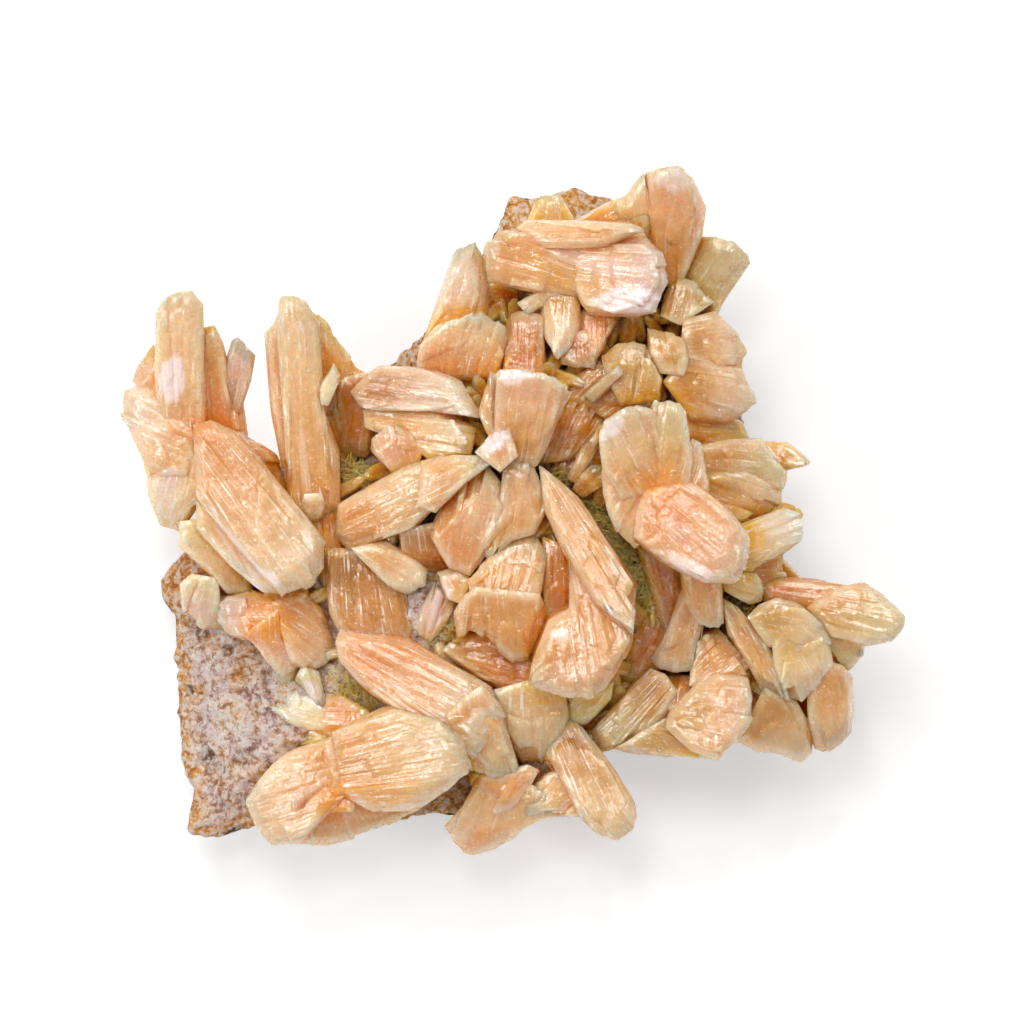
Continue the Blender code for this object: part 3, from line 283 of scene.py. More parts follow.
def tall_blade():
    """Tall blade that stands clear of its neighbours, with its pink and golden side faces."""
    return [
        crystal("peach", "cream", [(-39.4, 30.5), (-38.6, 36.1), (-36, 36.1), (-34, 35), (-31.4, 30),
            (-31.2, 17), (-28.6, 10), (-28.5, 1), (-33, -2), (-37.4, 1), (-38.2, 14)], low=(-33, 2, 29),
            high=(-36, 36, 37), silk=1.0),
        crystal("rose", "pink", [(-41.4, 30), (-39.8, 31.4), (-38.4, 34.6), (-36.5, 22), (-36.5, 4),
            (-38.6, 8.6), (-40.4, 18)], low=(-38, 8, 27), high=(-40, 30, 33), thick=6, silk=0.8),
        crystal("honey", "cream", [(-35, 35.2), (-31, 32), (-26, 25.5), (-24, 23.2), (-27, 16), (-32, 14),
            (-33.5, 28)], low=(-30, 17, 26), high=(-31, 31, 31), silk=1.0),
        crystal("cream", "pale", [(-32, 21), (-31.8, 17.8), (-30.4, 17.6), (-28.4, 22.5), (-29.5, 25)],
            low=(-31, 18.5, 33.6), high=(-29.3, 24.5, 35), thick=4, foot=27),
        crystal("pink", "lilac", [(-34.8, 3), (-31.4, 3.2), (-31, 0.6), (-32, -1.4), (-34, -1.6),
            (-35.2, 0.4)], low=(-33, 2, 31.4), high=(-33, -1.4, 30), thick=5),
    ]


def left_fan():
    """Small fan with an orange centre, below the large diagonal blade."""
    return [
        crystal("apricot", "lilac", [(-49.6, -14), (-49.7, -18.3), (-48, -20.7), (-44.8, -21.6),
            (-38.5, -20), (-39.5, -14.5), (-44, -12.6)], low=(-39.5, -18, 27), high=(-49, -18, 22)),
        crystal("orange", "white", [(-45, -20.6), (-43, -22.8), (-40, -26.3), (-37.4, -29.5),
            (-35.6, -27), (-36, -20), (-39, -16)], low=(-39, -18, 27.5), high=(-38.5, -28.5, 22)),
        crystal("apricot", "pink", [(-40, -15), (-36.8, -25.6), (-34, -26.9), (-31.6, -26.3),
            (-28.9, -24.6), (-29.8, -20.5), (-31.2, -16.5), (-34, -13)], low=(-39, -17.5, 28),
            high=(-30.5, -24, 25)),
        crystal("orange", "pink", [(-40, -21.5), (-44.5, -16), (-41, -11.5), (-34, -11), (-32.5, -18)],
            low=(-38, -20, 26), high=(-38, -12, 25)),
        crystal("white", "pale", [(-36.3, -28), (-34.9, -25.4), (-32, -26.6), (-30.5, -32.9),
            (-32, -33.7), (-34, -31)], low=(-34, -25.5, 25), high=(-31.5, -33, 24), thick=4, clear=0.4),
    ]


def small_wedges():
    """Cream lobe and two wedges between the fan and the lower bow-tie."""
    return [
        crystal("white", "white", [(-40.2, -33.2), (-39.6, -30.3), (-36, -29.5), (-30.5, -32.4),
            (-30.5, -36.5), (-36, -36.6)], low=(-32, -33.5, 23), high=(-39.8, -31.8, 21.5), thick=5),
        crystal("lilac", "white", [(-40, -33.4), (-32, -34.5), (-30, -38.2), (-36.6, -39.2)],
            low=(-31.5, -36, 22), high=(-38.8, -35, 19.6), thick=4, clear=0.2),
        crystal("salmon", "salmon", [(-31.4, -29.7), (-29.4, -29.5), (-23.5, -33.1), (-23.2, -35),
            (-29.3, -38.5), (-33, -36.5)], low=(-31, -33.5, 23.5), high=(-24, -33.5, 27)),
    ]


def lower_bowtie():
    """Large bow-tie at the lower left: a striated right lobe and lower lobes round an orange core."""
    return [
        crystal("peach", "cream", [(-30, -36.6), (-22, -32.6), (-19.7, -31.6), (-10.9, -34.2),
            (-7.7, -38.2), (-7, -43.2), (-9.5, -45.9), (-15.2, -49.8), (-23, -50), (-31, -46)],
            low=(-29.5, -44.5, 28), high=(-8.5, -41, 36), thick=9, silk=0.7),
        crystal("orange", "pale", [(-31, -44), (-20, -45), (-15, -49.9), (-21.4, -52.8), (-26.9, -54.9),
            (-31, -55.9), (-36.3, -55.4), (-37, -48)], low=(-29, -45, 28), high=(-25, -55, 20)),
        crystal("peach", "pale", [(-30, -37.4), (-37, -39.6), (-40, -42), (-42.4, -44.8), (-44.8, -48),
            (-42.2, -54.2), (-40.3, -56), (-35.5, -55.4), (-27.5, -47)], low=(-28.5, -45.5, 28.6),
            high=(-43.5, -50, 24), thick=9),
        crystal("salmon", "peach", [(-32, -38), (-28, -36.6), (-24.5, -42), (-26.5, -50), (-33, -50),
            (-36, -44)], low=(-29, -47, 26.6), high=(-30.5, -37.5, 25)),
    ]


def long_blade():
    """Long bent blade from the centre left to the bottom, with the striated blade it covers."""
    return [
        crystal("salmon", "pale", [(-29.4, -21.5), (-28.6, -19.4), (-16.8, -20.9), (-10.5, -25),
            (-3.6, -28.7), (-0.8, -34), (-6, -41), (-12, -38), (-20, -33), (-24.2, -29.9),
            (-28.8, -24.9)], low=(-26, -22, 29), high=(-4, -34, 32.6), thick=9),
        crystal("peach", "cream", [(-5, -28.6), (-1.2, -32.8), (-0.3, -38.4), (1.6, -42), (1.5, -44.2),
            (-1.8, -45.1), (-6, -44), (-9.5, -40), (-12, -34)], low=(-6, -31, 33), high=(-2, -45, 28),
            thick=9, lumps=0.9),
        crystal("brown", "apricot", [(-31.5, -6), (-26, -6), (-17.5, -11), (-15.6, -19), (-17.5, -23),
            (-27.5, -22.5), (-30.5, -17)], low=(-24, -8, 29), high=(-22, -22, 28), thick=8, silk=1.0,
            clear=0.2),
        crystal("salmon", "amber", [(-19, -10), (-12.6, -12), (-14.8, -18.5), (-15.4, -22), (-18.5, -22)],
            low=(-16, -11, 26), high=(-16, -22, 25.5), thick=7),
        crystal("salmon", "apricot", [(-38, 3), (-33, 1), (-28, 2), (-27.5, -4), (-26, -8), (-28, -13),
            (-31.6, -14), (-33, -4)], low=(-31, 1, 27), high=(-29.5, -13, 26.5)),
    ]


def centre_pair():
    """Two level crystals side by side, a pink six-sided one below and the amber wall behind."""
    return [
        crystal("brown", "white", [(-24.2, 22.9), (-22, 24.4), (-14, 24.2), (-8.5, 21.9), (-5.4, 17),
            (-3.5, 13.4), (-9, 13.4), (-12, 16.5), (-24.8, 16.8), (-27, 20)], low=(-24, 20, 31.4),
            high=(-5, 17, 39), thick=9, silk=0.8),
        crystal("peach", "cream", [(-24.8, 17.4), (-10, 17.2), (-5.6, 14), (-6.6, 9.4), (-13, 8),
            (-17.5, 11.5), (-24.5, 14)], low=(-23, 15, 30.4), high=(-8, 13, 37), thick=9),
        crystal("rose", "pink", [(-23.4, 13), (-20.6, 15.1), (-16, 13), (-14.6, 11), (-15.2, 8.2),
            (-20, 6.6), (-23.6, 10.2)], low=(-18, 8, 33.4), high=(-20, 15, 35.6)),
        crystal("amber", "amber", [(-29.6, 22), (-24, 23.4), (-22.6, 14), (-24, 9), (-28.8, 9.6)],
            low=(-25, 20, 28.5), high=(-27, 10, 23)),
    ]


def arch():
    """Arched blade over the centre, the two pink bands at its end and the lumps below it."""
    return [
        crystal("apricot", "cream", [(-29.4, -4), (-29, 1.4), (-25, 3.8), (-18, 7.8), (-11, 9.6),
            (-10.5, 3), (-16.5, -3.2), (-21, -4.4), (-27, -6.8)], low=(-27, -2, 31), high=(-12, 5, 39.4),
            thick=9),
        crystal("peach", "cream", [(-15, 8.6), (-10, 9.8), (-4.6, 9.7), (-3.2, 8), (-7.6, 4.8),
            (-12.6, -0.2), (-15.8, 1)], low=(-13, 4, 39.6), high=(-4.5, 8.5, 42.4), thick=9),
        crystal("salmon", "pale", [(-5.4, 9.4), (-2, 5.4), (-0.8, 1), (-4.8, -8), (-7, -10.7),
            (-10.6, -9.2), (-14, -3.4), (-12, 1), (-8, 5)], low=(-8, -8, 34.4), high=(-4, 9, 41),
            thick=10),
        crystal("peach", "pink", [(-3, 9.4), (3.6, 8.4), (6.5, 1.6), (3.8, -3.7), (0, -4.8), (-3.6, -8.2),
            (-6, -6), (-2, 0)], low=(0, -5, 36), high=(2, 8.5, 40), thick=10),
        crystal("brown", "orange", [(-19, -3), (-12, -1.5), (-9.4, -4), (-9, -9.8), (-13, -10.6),
            (-18.4, -8)], low=(-14, -4, 33), high=(-13, -10, 29), thick=10),
        crystal("peach", "pale", [(-27, -6), (-20.6, -4.6), (-16.2, -7.6), (-13.9, -9.6), (-14.4, -12.4),
            (-17, -14.1), (-20, -13), (-23.6, -9.4)], low=(-24, -7, 31.5), high=(-15.5, -12.5, 31.5),
            thick=6, lumps=0.8),
    ]


def centre_fan():
    """Stacked fan below the bands, cream crystals under it and a lilac pointed one beside it."""
    return [
        crystal("orchid", "lilac", [(-12.8, -11.4), (-9.2, -14.8), (-10.8, -18.6), (-13.6, -21.8),
            (-16, -20.4), (-15.3, -16)], low=(-14.5, -20, 27), high=(-12.4, -12, 31.5), thick=6),
        crystal("pink", "rose", [(-12.6, -10), (-9, -9), (-6.4, -11), (-8.4, -15.4), (-11, -14.4)],
            low=(-8.5, -14, 32), high=(-11, -10, 32), thick=6),
        crystal("peach", "peach", [(-7.4, -11), (-4, -7.4), (0, -4.2), (3.6, -3.2), (6, -7), (5.3, -10.6),
            (4.8, -14), (-6.8, -15)], low=(-1, -14, 36.6), high=(1, -4.5, 34.6), thick=11),
        crystal("peach", "peach", [(-9.8, -16.8), (-8, -13.8), (-6, -12.4), (4.8, -13.6), (6.1, -17.2),
            (5.6, -19.5), (3.2, -24.6), (0, -25.2), (-2.6, -23), (-4.4, -21.2), (-7, -20.4), (-9.2, -21)],
            low=(-1, -14, 37.6), high=(0, -24.5, 32.5), thick=12, lumps=0.7),
        crystal("amber", "honey", [(-12.4, -23.2), (-10.8, -21.4), (-7.5, -19.6), (-2, -19.6), (4, -24),
            (4, -30.4), (-1.5, -30.4), (-5, -28.4)], low=(1, -26, 29), high=(-11, -22.5, 29)),
        crystal("pale", "pale", [(-3.2, -29.6), (2.6, -28), (9, -29.6), (9.7, -34.2), (8.6, -38.5),
            (5, -42.4), (1.4, -42.2), (-1.4, -38)], low=(3, -29, 31.4), high=(4, -42, 25.6), thick=10,
            silk=0.6, clear=0.2),
    ]


def broad_crystal():
    """Broad crystal with a glittering end, a stepped left side and a bright facet below it."""
    return [
        crystal("peach", "pink", [(-3.6, 23.8), (5.5, 23.6), (10.1, 20), (8, 16), (5.6, 10), (4, 7.4),
            (-3, 7.4), (-3.4, 14), (-2.8, 18)], low=(1, 9, 39), high=(3, 23.5, 46), thick=10),
        crystal("apricot", "lilac", [(-6.3, 9.9), (-3.2, 13.9), (0.2, 13.7), (1.2, 9.4), (-2, 6.6)],
            low=(-1.5, 7.5, 42.8), high=(-3, 13.7, 42.6), thick=6),
        crystal("honey", "apricot", [(-5.7, 16.6), (-3.7, 23.6), (-0.5, 23), (-0.5, 12.6), (-4, 12.6)],
            low=(-2.2, 14, 39.6), high=(-3, 23, 42), thick=9),
    ]


def curved_blade():
    """Large curved blade: a silky ridge down its right side and a rounded cream end."""
    return [
        crystal("honey", "peach", [(4.4, 8), (8.2, 5), (11.2, 2.3), (15.8, -4), (20, -10.4), (21.5, -13),
            (20.9, -17), (20.3, -21), (14, -16), (9, -8), (5.4, 0)], low=(6, 5, 38), high=(20, -18, 43),
            thick=11, silk=1.0),
        crystal("amber", "peach", [(5, 2), (11, -5), (17, -15), (20.4, -20.2), (19.8, -23), (18, -26.3),
            (15.6, -29.9), (13, -31.1), (8.6, -30.9), (2.7, -28.7), (3.2, -25.4), (6, -18), (9.5, -16),
            (9.5, -9), (5.8, -5)], low=(7, -2, 37), high=(11, -30, 41), thick=11),
        crystal("amber", "amber", [(4.8, -4), (11, -6), (11.5, -18), (5.6, -19), (4.4, -13)],
            low=(8, -5, 34.5), high=(8, -18, 33)),
    ]


def rosette():
    """Large rosette on the right: five lobes round an orange centre, and two thin crystals."""
    return [
        crystal("peach", "cream", [(14.2, 13.3), (15.2, 15.2), (18.5, 17.3), (21, 17.8), (24.2, 17),
            (26, 9), (25, 3), (18, 2), (14.8, 7), (14.3, 10)], low=(23.5, 4.5, 42.4), high=(18, 16, 47.5),
            thick=10),
        crystal("peach", "green", [(22.6, 16.6), (23.4, 18.6), (25.5, 18.6), (27.8, 18), (29, 16.3),
            (29.6, 12), (30.4, 8), (29, 2), (23, 3), (21.5, 10)], low=(24.5, 4.5, 42.4),
            high=(26.5, 17.5, 46), thick=10),
        crystal("apricot", "peach", [(28.6, 13), (31.5, 11.4), (32.7, 5), (33, 2.6), (27, 3), (27, 9)],
            low=(28.5, 4, 41.4), high=(31, 11, 41), thick=8, silk=1.0),
        crystal("salmon", "pink", [(20, -4.6), (20.6, 0), (22, 4), (26, 6), (30, 5), (33, 3.1), (36.6, 0),
            (39.6, -4), (39.3, -6.8), (38.4, -11), (36.8, -12), (31.8, -11.8), (27.2, -9.8), (24, -7.9)],
            low=(24, 3, 43), high=(37.5, -8, 45), thick=11),
        crystal("peach", "pale", [(20.4, -6.8), (17.2, -3.6), (15.6, 0), (14.5, 5), (15, 10), (20, 9),
            (24, 4), (21.5, 0), (21.5, -5)], low=(22, 4, 42), high=(17.5, -4.5, 39), thick=9),
        crystal("honey", "honey", [(9.1, 5.5), (10.8, 4.6), (15, 12), (14.4, 14.2), (12.5, 12.6),
            (10.4, 9)], low=(10, 5, 33), high=(13.8, 13.5, 38), thick=4, clear=0.4),
        crystal("honey", "tan", [(10, 3.8), (11.8, 2.2), (15.4, 4.6), (15.4, 7.8), (13, 8), (10.4, 5)],
            low=(11, 3, 33), high=(15, 6.8, 37), thick=4, clear=0.4),
    ]


def amber_plates():
    """Amber and brown plates in the gap below the rosette."""
    return [
        crystal("peach", "peach", [(27.8, -9.6), (35, -10), (35.3, -19), (33, -19.8), (31, -18.8),
            (28.6, -16)], low=(31, -11, 34.6), high=(32, -19.5, 33), thick=10),
        crystal("apricot", "peach", [(28.2, -11), (33.4, -12), (31.6, -19.5), (31, -22), (31.2, -26.6),
            (27, -26.8), (24.4, -26.2), (23, -24.8), (25.2, -21), (27, -16)], low=(30.5, -13, 32.6),
            high=(27.5, -26, 30.5), thick=10, fan=50),
        crystal("amber", "amber", [(20.4, -5.4), (24.5, -7), (28.8, -10), (28.8, -17), (27, -23),
            (24, -17.5), (23.4, -14)], low=(24, -8, 32), high=(27, -20, 29), clear=0.2),
        crystal("amber", "honey", [(20.2, -17.6), (24.5, -16.8), (28, -20.6), (26, -25), (22.6, -29),
            (15.6, -28), (19.4, -23)], low=(23, -19, 28), high=(19, -28, 26)),
    ]


def upper_sheaf():
    """Pearly bow-tie near the top: a large right lobe, a peach left lobe and blades round them."""
    return [
        crystal("pink", "lilac", [(10.2, 37.6), (9, 42), (10, 47.1), (20, 47.6), (22, 46.8), (25, 43),
            (26.3, 38.6), (25, 36), (24, 33), (20, 32.2), (13, 32.7), (11.4, 34.6)], low=(11, 40, 33.6),
            high=(25, 38, 40.5), thick=10),
        crystal("peach", "peach", [(-4.9, 43.8), (-3, 47), (1, 47.3), (12, 46), (13, 39), (10.6, 35.4),
            (4, 36.3), (-4.2, 38)], low=(11, 39.5, 33), high=(-3.5, 44, 34), thick=9),
        crystal("pink", "peach", [(0.7, 47.1), (2.5, 48.7), (10, 48.5), (20, 48.1), (22.4, 46.6),
            (15, 43.6), (6, 43.4)], low=(2, 46.5, 33.6), high=(20, 47.5, 40), thick=7, silk=1.0),
        crystal("lilac", "white", [(-15.2, 27.6), (-13, 34), (-10, 42.4), (-9.4, 43.8), (-6, 45.2),
            (-4.6, 43), (-3.6, 38), (-3.8, 33), (-8, 27.6)], low=(-11, 29, 27), high=(-7.5, 44, 32),
            thick=6, clear=0.25),
        crystal("honey", "peach", [(9.6, 48.3), (16.5, 52), (21, 52.2), (23.2, 49), (23, 45.4), (11, 44)],
            low=(12, 46, 30), high=(20, 51.5, 34), thick=8),
        crystal("grey", "grey", [(2.3, 48.4), (3.6, 51.6), (5, 52.7), (8, 53.1), (10.6, 48.6), (9, 44),
            (4, 44)], low=(7, 45.5, 27), high=(5.5, 52.5, 28)),
        crystal("peach", "peach", [(0.5, 34.7), (2.4, 32.4), (11, 37.6), (10.6, 40.6)],
            low=(10, 39.3, 32.6), high=(1.5, 33.6, 32), thick=6, silk=1.0),
    ]


def top_blade():
    """Upright pair of blades at the top right, and the green translucent one behind them."""
    return [
        crystal("peach", "pink", [(22, 56.7), (27.5, 57.5), (30, 56.1), (32.5, 51), (31.7, 46), (28, 37),
            (24.2, 38), (22.8, 48)], low=(26.5, 39, 29), high=(27, 57, 40), thick=9),
        crystal("pale", "pale", [(16.3, 51.7), (19, 52.8), (20.5, 55.1), (22, 56.7), (24.6, 52), (25, 42),
            (20, 43)], low=(23, 42, 29), high=(20.5, 55.5, 37)),
        crystal("grey", "green", [(31.4, 46), (34, 46.2), (37, 45.3), (39.5, 43), (39.9, 41.3),
            (35.8, 36), (33.6, 31), (27, 33), (27, 40.5)], low=(30, 34, 25), high=(36.5, 44.5, 30),
            clear=0.2),
    ]


def upper_right_lumps():
    """Rounded lumps along the right edge below the top blades, with a small rosette."""
    return [
        crystal("tan", "tan", [(24.6, 32.6), (28, 31), (33.8, 35), (31, 38.2), (27, 39.6), (25.6, 37)],
            low=(28, 31.5, 31), high=(30, 38, 29.6)),
        crystal("honey", "pale", [(28, 27), (28.4, 32), (33.8, 33.6), (37.8, 30), (39.5, 27), (38.8, 23),
            (32, 23)], low=(30, 27, 32.4), high=(38, 28, 30.4), thick=10),
        crystal("honey", "pale", [(38.8, 24), (40.4, 20), (41, 18.4), (38.6, 16.1), (36.4, 14.8),
            (30, 15), (25, 21.6), (29, 27)], low=(27, 22, 33.6), high=(39, 19.5, 31), thick=11),
        crystal("tan", "honey", [(22.4, 31), (28.6, 29.3), (29.7, 26.2), (28.6, 22.6), (24.6, 23),
            (22.4, 27)], low=(26, 25, 34.6), high=(25, 31, 34.6), thick=11),
        crystal("tan", "tan", [(14.8, 26), (17.5, 28.2), (20, 28.4), (23.6, 27.4), (25.4, 22.5),
            (25, 18.6), (18, 17.6), (15.6, 22)], low=(19, 19, 34.6), high=(20, 28, 36), thick=12),
        crystal("tan", "peach", [(11.8, 19.6), (13.4, 18), (18.8, 22.8), (17.6, 24.8)],
            low=(12.7, 19, 33.6), high=(18.1, 23.8, 37.6), thick=4),
        crystal("tan", "grey", [(28, 17), (38.4, 15.4), (39.8, 12), (31, 10), (28, 11)],
            low=(31, 14, 29.6), high=(39, 13.5, 26), thick=9),
    ]


def hexagon_blade():
    """Peach six-sided blade with small upright crystals to its right."""
    return [
        crystal("salmon", "cream", [(-12.7, 31), (-5, 33.9), (-0.9, 31), (-0.6, 28), (-1.6, 22),
            (-16, 21.6), (-15.7, 27.5)], low=(-9, 23, 32), high=(-7, 32.5, 36.5), thick=9),
        crystal("amber", "amber", [(-1.8, 23), (-1.2, 32.4), (1, 33.5), (5.4, 33), (6, 22)],
            low=(2, 24, 33), high=(2, 33, 32.6), thick=9),
        crystal("honey", "pale", [(4.6, 33.5), (5, 39), (10.8, 40), (11.7, 31), (9.8, 27), (7.5, 24.8),
            (5.4, 28)], low=(8.5, 38, 31), high=(7.6, 25.5, 35.4), thick=9),
        crystal("orange", "apricot", [(10.4, 31), (12, 34), (18.4, 33), (16.7, 29), (14, 25), (11.8, 27)],
            low=(14, 33, 31), high=(14, 25.5, 33.4), silk=1.0),
        crystal("amber", "amber", [(8, 24.4), (8.8, 29.8), (13, 30.4), (14.8, 27), (13.8, 23.4)],
            low=(11, 29.5, 32), high=(11, 24.5, 33)),
    ]


def honey_blades():
    """Deep honey-coloured blades low in the gap behind the rosette."""
    return [
        crystal("honey", "honey", [(4, 14), (9.6, 20.4), (12.8, 19), (16, 16), (15.5, 12), (9.5, 8.6),
            (4.6, 8)], low=(9, 10, 31), high=(13, 18, 31), silk=0.8),
        crystal("honey", "apricot", [(7, 19), (12.6, 25.6), (17, 26), (25.5, 22), (26, 17), (17, 14.5),
            (12, 17.6)], low=(14, 17, 31.6), high=(20, 22, 32), silk=0.8),
        crystal("amber", "honey", [(6.8, 8.6), (9, 11), (14.6, 12.5), (16, 8), (12.5, 6.4), (9.3, 5),
            (7.2, 7.2)], low=(9, 6, 29), high=(13, 11, 29)),
    ]


def right_lump():
    """Green-cream lump at the right with a thin tip behind it."""
    return [
        crystal("honey", "green", [(31, 11), (36, 12.2), (41.6, 12.4), (43.5, 9.4), (46.1, 6.8),
            (45.9, 5), (45, 3.4), (40, 4.4), (32, 4)], low=(33, 8, 34.6), high=(44.5, 6.5, 31.6),
            thick=10, lumps=0.8),
        crystal("tan", "pale", [(32, 6.4), (40, 7), (45.1, 4.2), (45, 1.5), (43.6, -0.4), (40, -1.7),
            (37.6, -3), (32, 1)], low=(34.5, 4, 34.8), high=(44, 0.5, 32.4), thick=10),
        crystal("tan", "tan", [(40.4, 12.3), (42.5, 11.7), (46, 11.6), (48, 10.1), (49.8, 8.4),
            (49.2, 7.5), (45.8, 6.8), (41.5, 6)], low=(41, 9, 27), high=(49, 8.5, 29), thick=4),
    ]


def silky_crystal():
    """Silky striated crystal at the right edge, with small crystals above and below it."""
    return [
        crystal("white", "white", [(37.6, -2), (43.6, 0.2), (45.2, 0.8), (48, -0.1), (49.1, -1.4),
            (49.1, -4.3), (47, -6.3), (42, -8.7), (40, -9.9), (37, -9.6)], low=(38.5, -6.5, 33),
            high=(48.5, -3, 36), thick=8, silk=1.2),
        crystal("tan", "tan", [(44.4, 2.3), (47.4, 1.7), (48.9, -0.6), (46.5, -2.5), (42.5, -1)],
            low=(44, -1, 30), high=(47, 1.5, 29), thick=5),
        crystal("pale", "pale", [(35, -11.6), (38.4, -9.6), (40.6, -9.8), (41.7, -11.5), (42.1, -13.5),
            (41.6, -15.1), (39.5, -15.5), (35.2, -13.2)], low=(36, -12, 32), high=(41.3, -14, 31),
            thick=7),
        crystal("honey", "cream", [(39.6, -9), (45.3, -6), (45.8, -10.8), (45.6, -14), (40.6, -14)],
            low=(42, -10, 28.4), high=(45.5, -9.5, 27), thick=7),
    ]


def right_point():
    """Crystal that points to the far right, with a pale piece under its lower side."""
    return [
        crystal("amber", "honey", [(41, -11.2), (45.4, -10.8), (50.5, -11), (55, -12.3), (58.7, -11.7),
            (61, -15), (58, -21), (50, -18.5), (42, -16)], low=(44, -14, 29), high=(59, -16.5, 32)),
        crystal("honey", "green", [(53, -12.6), (58.7, -11.7), (62, -13.9), (65.5, -17.4), (65.2, -19.2),
            (63.4, -21.5), (59, -22.4), (53, -21), (49, -16)], low=(50, -15, 31), high=(64.5, -18.5, 34)),
        crystal("white", "white", [(51.4, -19.6), (55, -20.4), (59, -21.6), (58.7, -24), (56.4, -26.7),
            (54.5, -25.8), (51.4, -23)], low=(53, -20, 29), high=(57, -25.5, 26), thick=6),
    ]


def grainy_lump():
    """Grainy cream lumps at the lower right and the crystals at their foot."""
    return [
        crystal("tan", "cream", [(39, -17.4), (41, -15.4), (44.2, -14.1), (48, -15.2), (52, -18.9),
            (53.4, -22), (48, -24), (42.5, -22.5)], low=(42, -18, 33.4), high=(51, -20, 32.4), thick=11,
            lumps=1.2),
        crystal("yellow", "pale", [(43, -20), (52.6, -20), (53.7, -25.8), (50.8, -29.4), (48.4, -32),
            (45.2, -31.4), (43.6, -26)], low=(45.5, -21, 32.8), high=(50, -30, 30), thick=11, lumps=1.2),
        crystal("peach", "cream", [(51, -24.6), (55, -25.4), (56.9, -27.5), (57.1, -33), (56.7, -37),
            (55, -38.7), (52.3, -40.7), (50.4, -40.1), (49.4, -36.5), (49, -28)], low=(51, -28, 28.6),
            high=(54, -39, 24.4), thick=9, clear=0.3),
        crystal("peach", "cream", [(37.3, -38.2), (41, -40.1), (44.2, -40.3), (48.2, -42), (50.2, -40.4),
            (50.5, -36.6), (47.6, -31.6), (42, -29), (39.6, -34)], low=(43, -31, 28.4),
            high=(47.5, -41, 22.4)),
    ]


def pink_fan():
    """Pink fan at the lower right: a broad blade, a flat lower one and narrow striated ones."""
    return [
        crystal("tan", "pink", [(26, -33.5), (31, -28), (34.3, -26.6), (39.5, -27.2), (40.3, -31),
            (40.2, -34.5), (37.5, -38.4), (34.2, -41.4), (30, -40), (25.5, -36)], low=(27.5, -32.5, 30),
            high=(38.5, -34, 34), thick=9),
        crystal("tan", "pale", [(16.8, -39.5), (20, -37.6), (25, -34), (33, -35), (34.4, -41.5),
            (27, -41.1), (20.5, -40.5)], low=(23, -36.5, 27.4), high=(33, -41, 24.4), silk=0.8),
        crystal("apricot", "peach", [(30.4, -20), (35, -18.6), (38.8, -22.6), (40.6, -26.5), (39.5, -29),
            (33, -29), (29.4, -29)], low=(31, -28, 30), high=(38, -22.5, 30.4), thick=9, silk=1.0),
        crystal("peach", "peach", [(34.6, -14), (37.6, -15.8), (41, -19.8), (44.6, -25.4), (45.4, -31.2),
            (41, -30), (39.4, -26), (36, -21)], low=(36.5, -16.5, 31), high=(43.5, -30, 30.6), silk=1.0),
        crystal("amber", "amber", [(25, -26.4), (30, -26.8), (31, -30), (27, -34), (23.6, -30)],
            low=(27, -33, 29), high=(28, -27, 29)),
    ]


def green_blades():
    """Yellow-green striated blades between the fan and the curved blade's end."""
    return [
        crystal("honey", "green", [(25.6, -27), (27.6, -30), (25.4, -34.8), (21, -38.4), (15.2, -40.1),
            (12.8, -36.6), (16, -33), (20.5, -27.8), (23, -26)], low=(24.5, -29, 29.6),
            high=(15.5, -39, 25.4), thick=9, silk=1.0),
        crystal("green", "green", [(8.4, -30), (15, -29.4), (17, -28), (16.4, -31.5), (12.2, -35.8),
            (9.2, -34.6)], low=(14.5, -30, 29.6), high=(11, -34.5, 28)),
    ]


def yellow_blade():
    """Silky yellow blade at the bottom edge, with a rounded lobe at its left side."""
    return [
        crystal("honey", "cream", [(7, -37), (9.4, -34), (10.8, -34.8), (15.2, -40.2), (18.6, -45),
            (20.4, -48), (20.9, -50.3), (20.3, -52.9), (17.6, -54.8), (14.4, -54.1), (11.5, -51.4),
            (9, -46.5), (5, -41.4)], low=(9, -37, 27.6), high=(17, -54, 30), thick=9, silk=1.2),
        crystal("peach", "cream", [(0.3, -49.5), (2.6, -46), (5.4, -43.7), (8.5, -42.6), (12.5, -47),
            (12.8, -51), (7, -50.6), (2.2, -51)], low=(9, -44, 27), high=(1.5, -49.8, 25), thick=7,
            lumps=0.6),
    ]


def bottom_lobes():
    """Orange-cream lobes at the bottom edge."""
    return [
        crystal("pink", "pale", [(-11.5, -52.6), (-9.8, -55.4), (-8, -57.1), (-6.6, -57.5), (-3.4, -56.7),
            (0, -55.1), (3.4, -51.8), (8, -50.9), (6, -47), (0, -43.4), (-5.5, -44), (-8.2, -49)],
            low=(-2, -45, 26), high=(-6, -57, 19)),
        crystal("salmon", "peach", [(-7.2, -43.4), (-1.8, -43.4), (2.6, -42), (5, -43.2), (2.6, -46.8),
            (0.4, -50), (-3, -50.4), (-7, -47.4)], low=(1.5, -42.6, 27), high=(-3, -50, 25.6)),
        crystal("orange", "brown", [(1, -53.4), (3.4, -51.9), (5.2, -50.9), (11.8, -51), (12.5, -47),
            (3, -46)], low=(6, -46.5, 25), high=(4, -52.6, 21.4), thick=6),
    ]


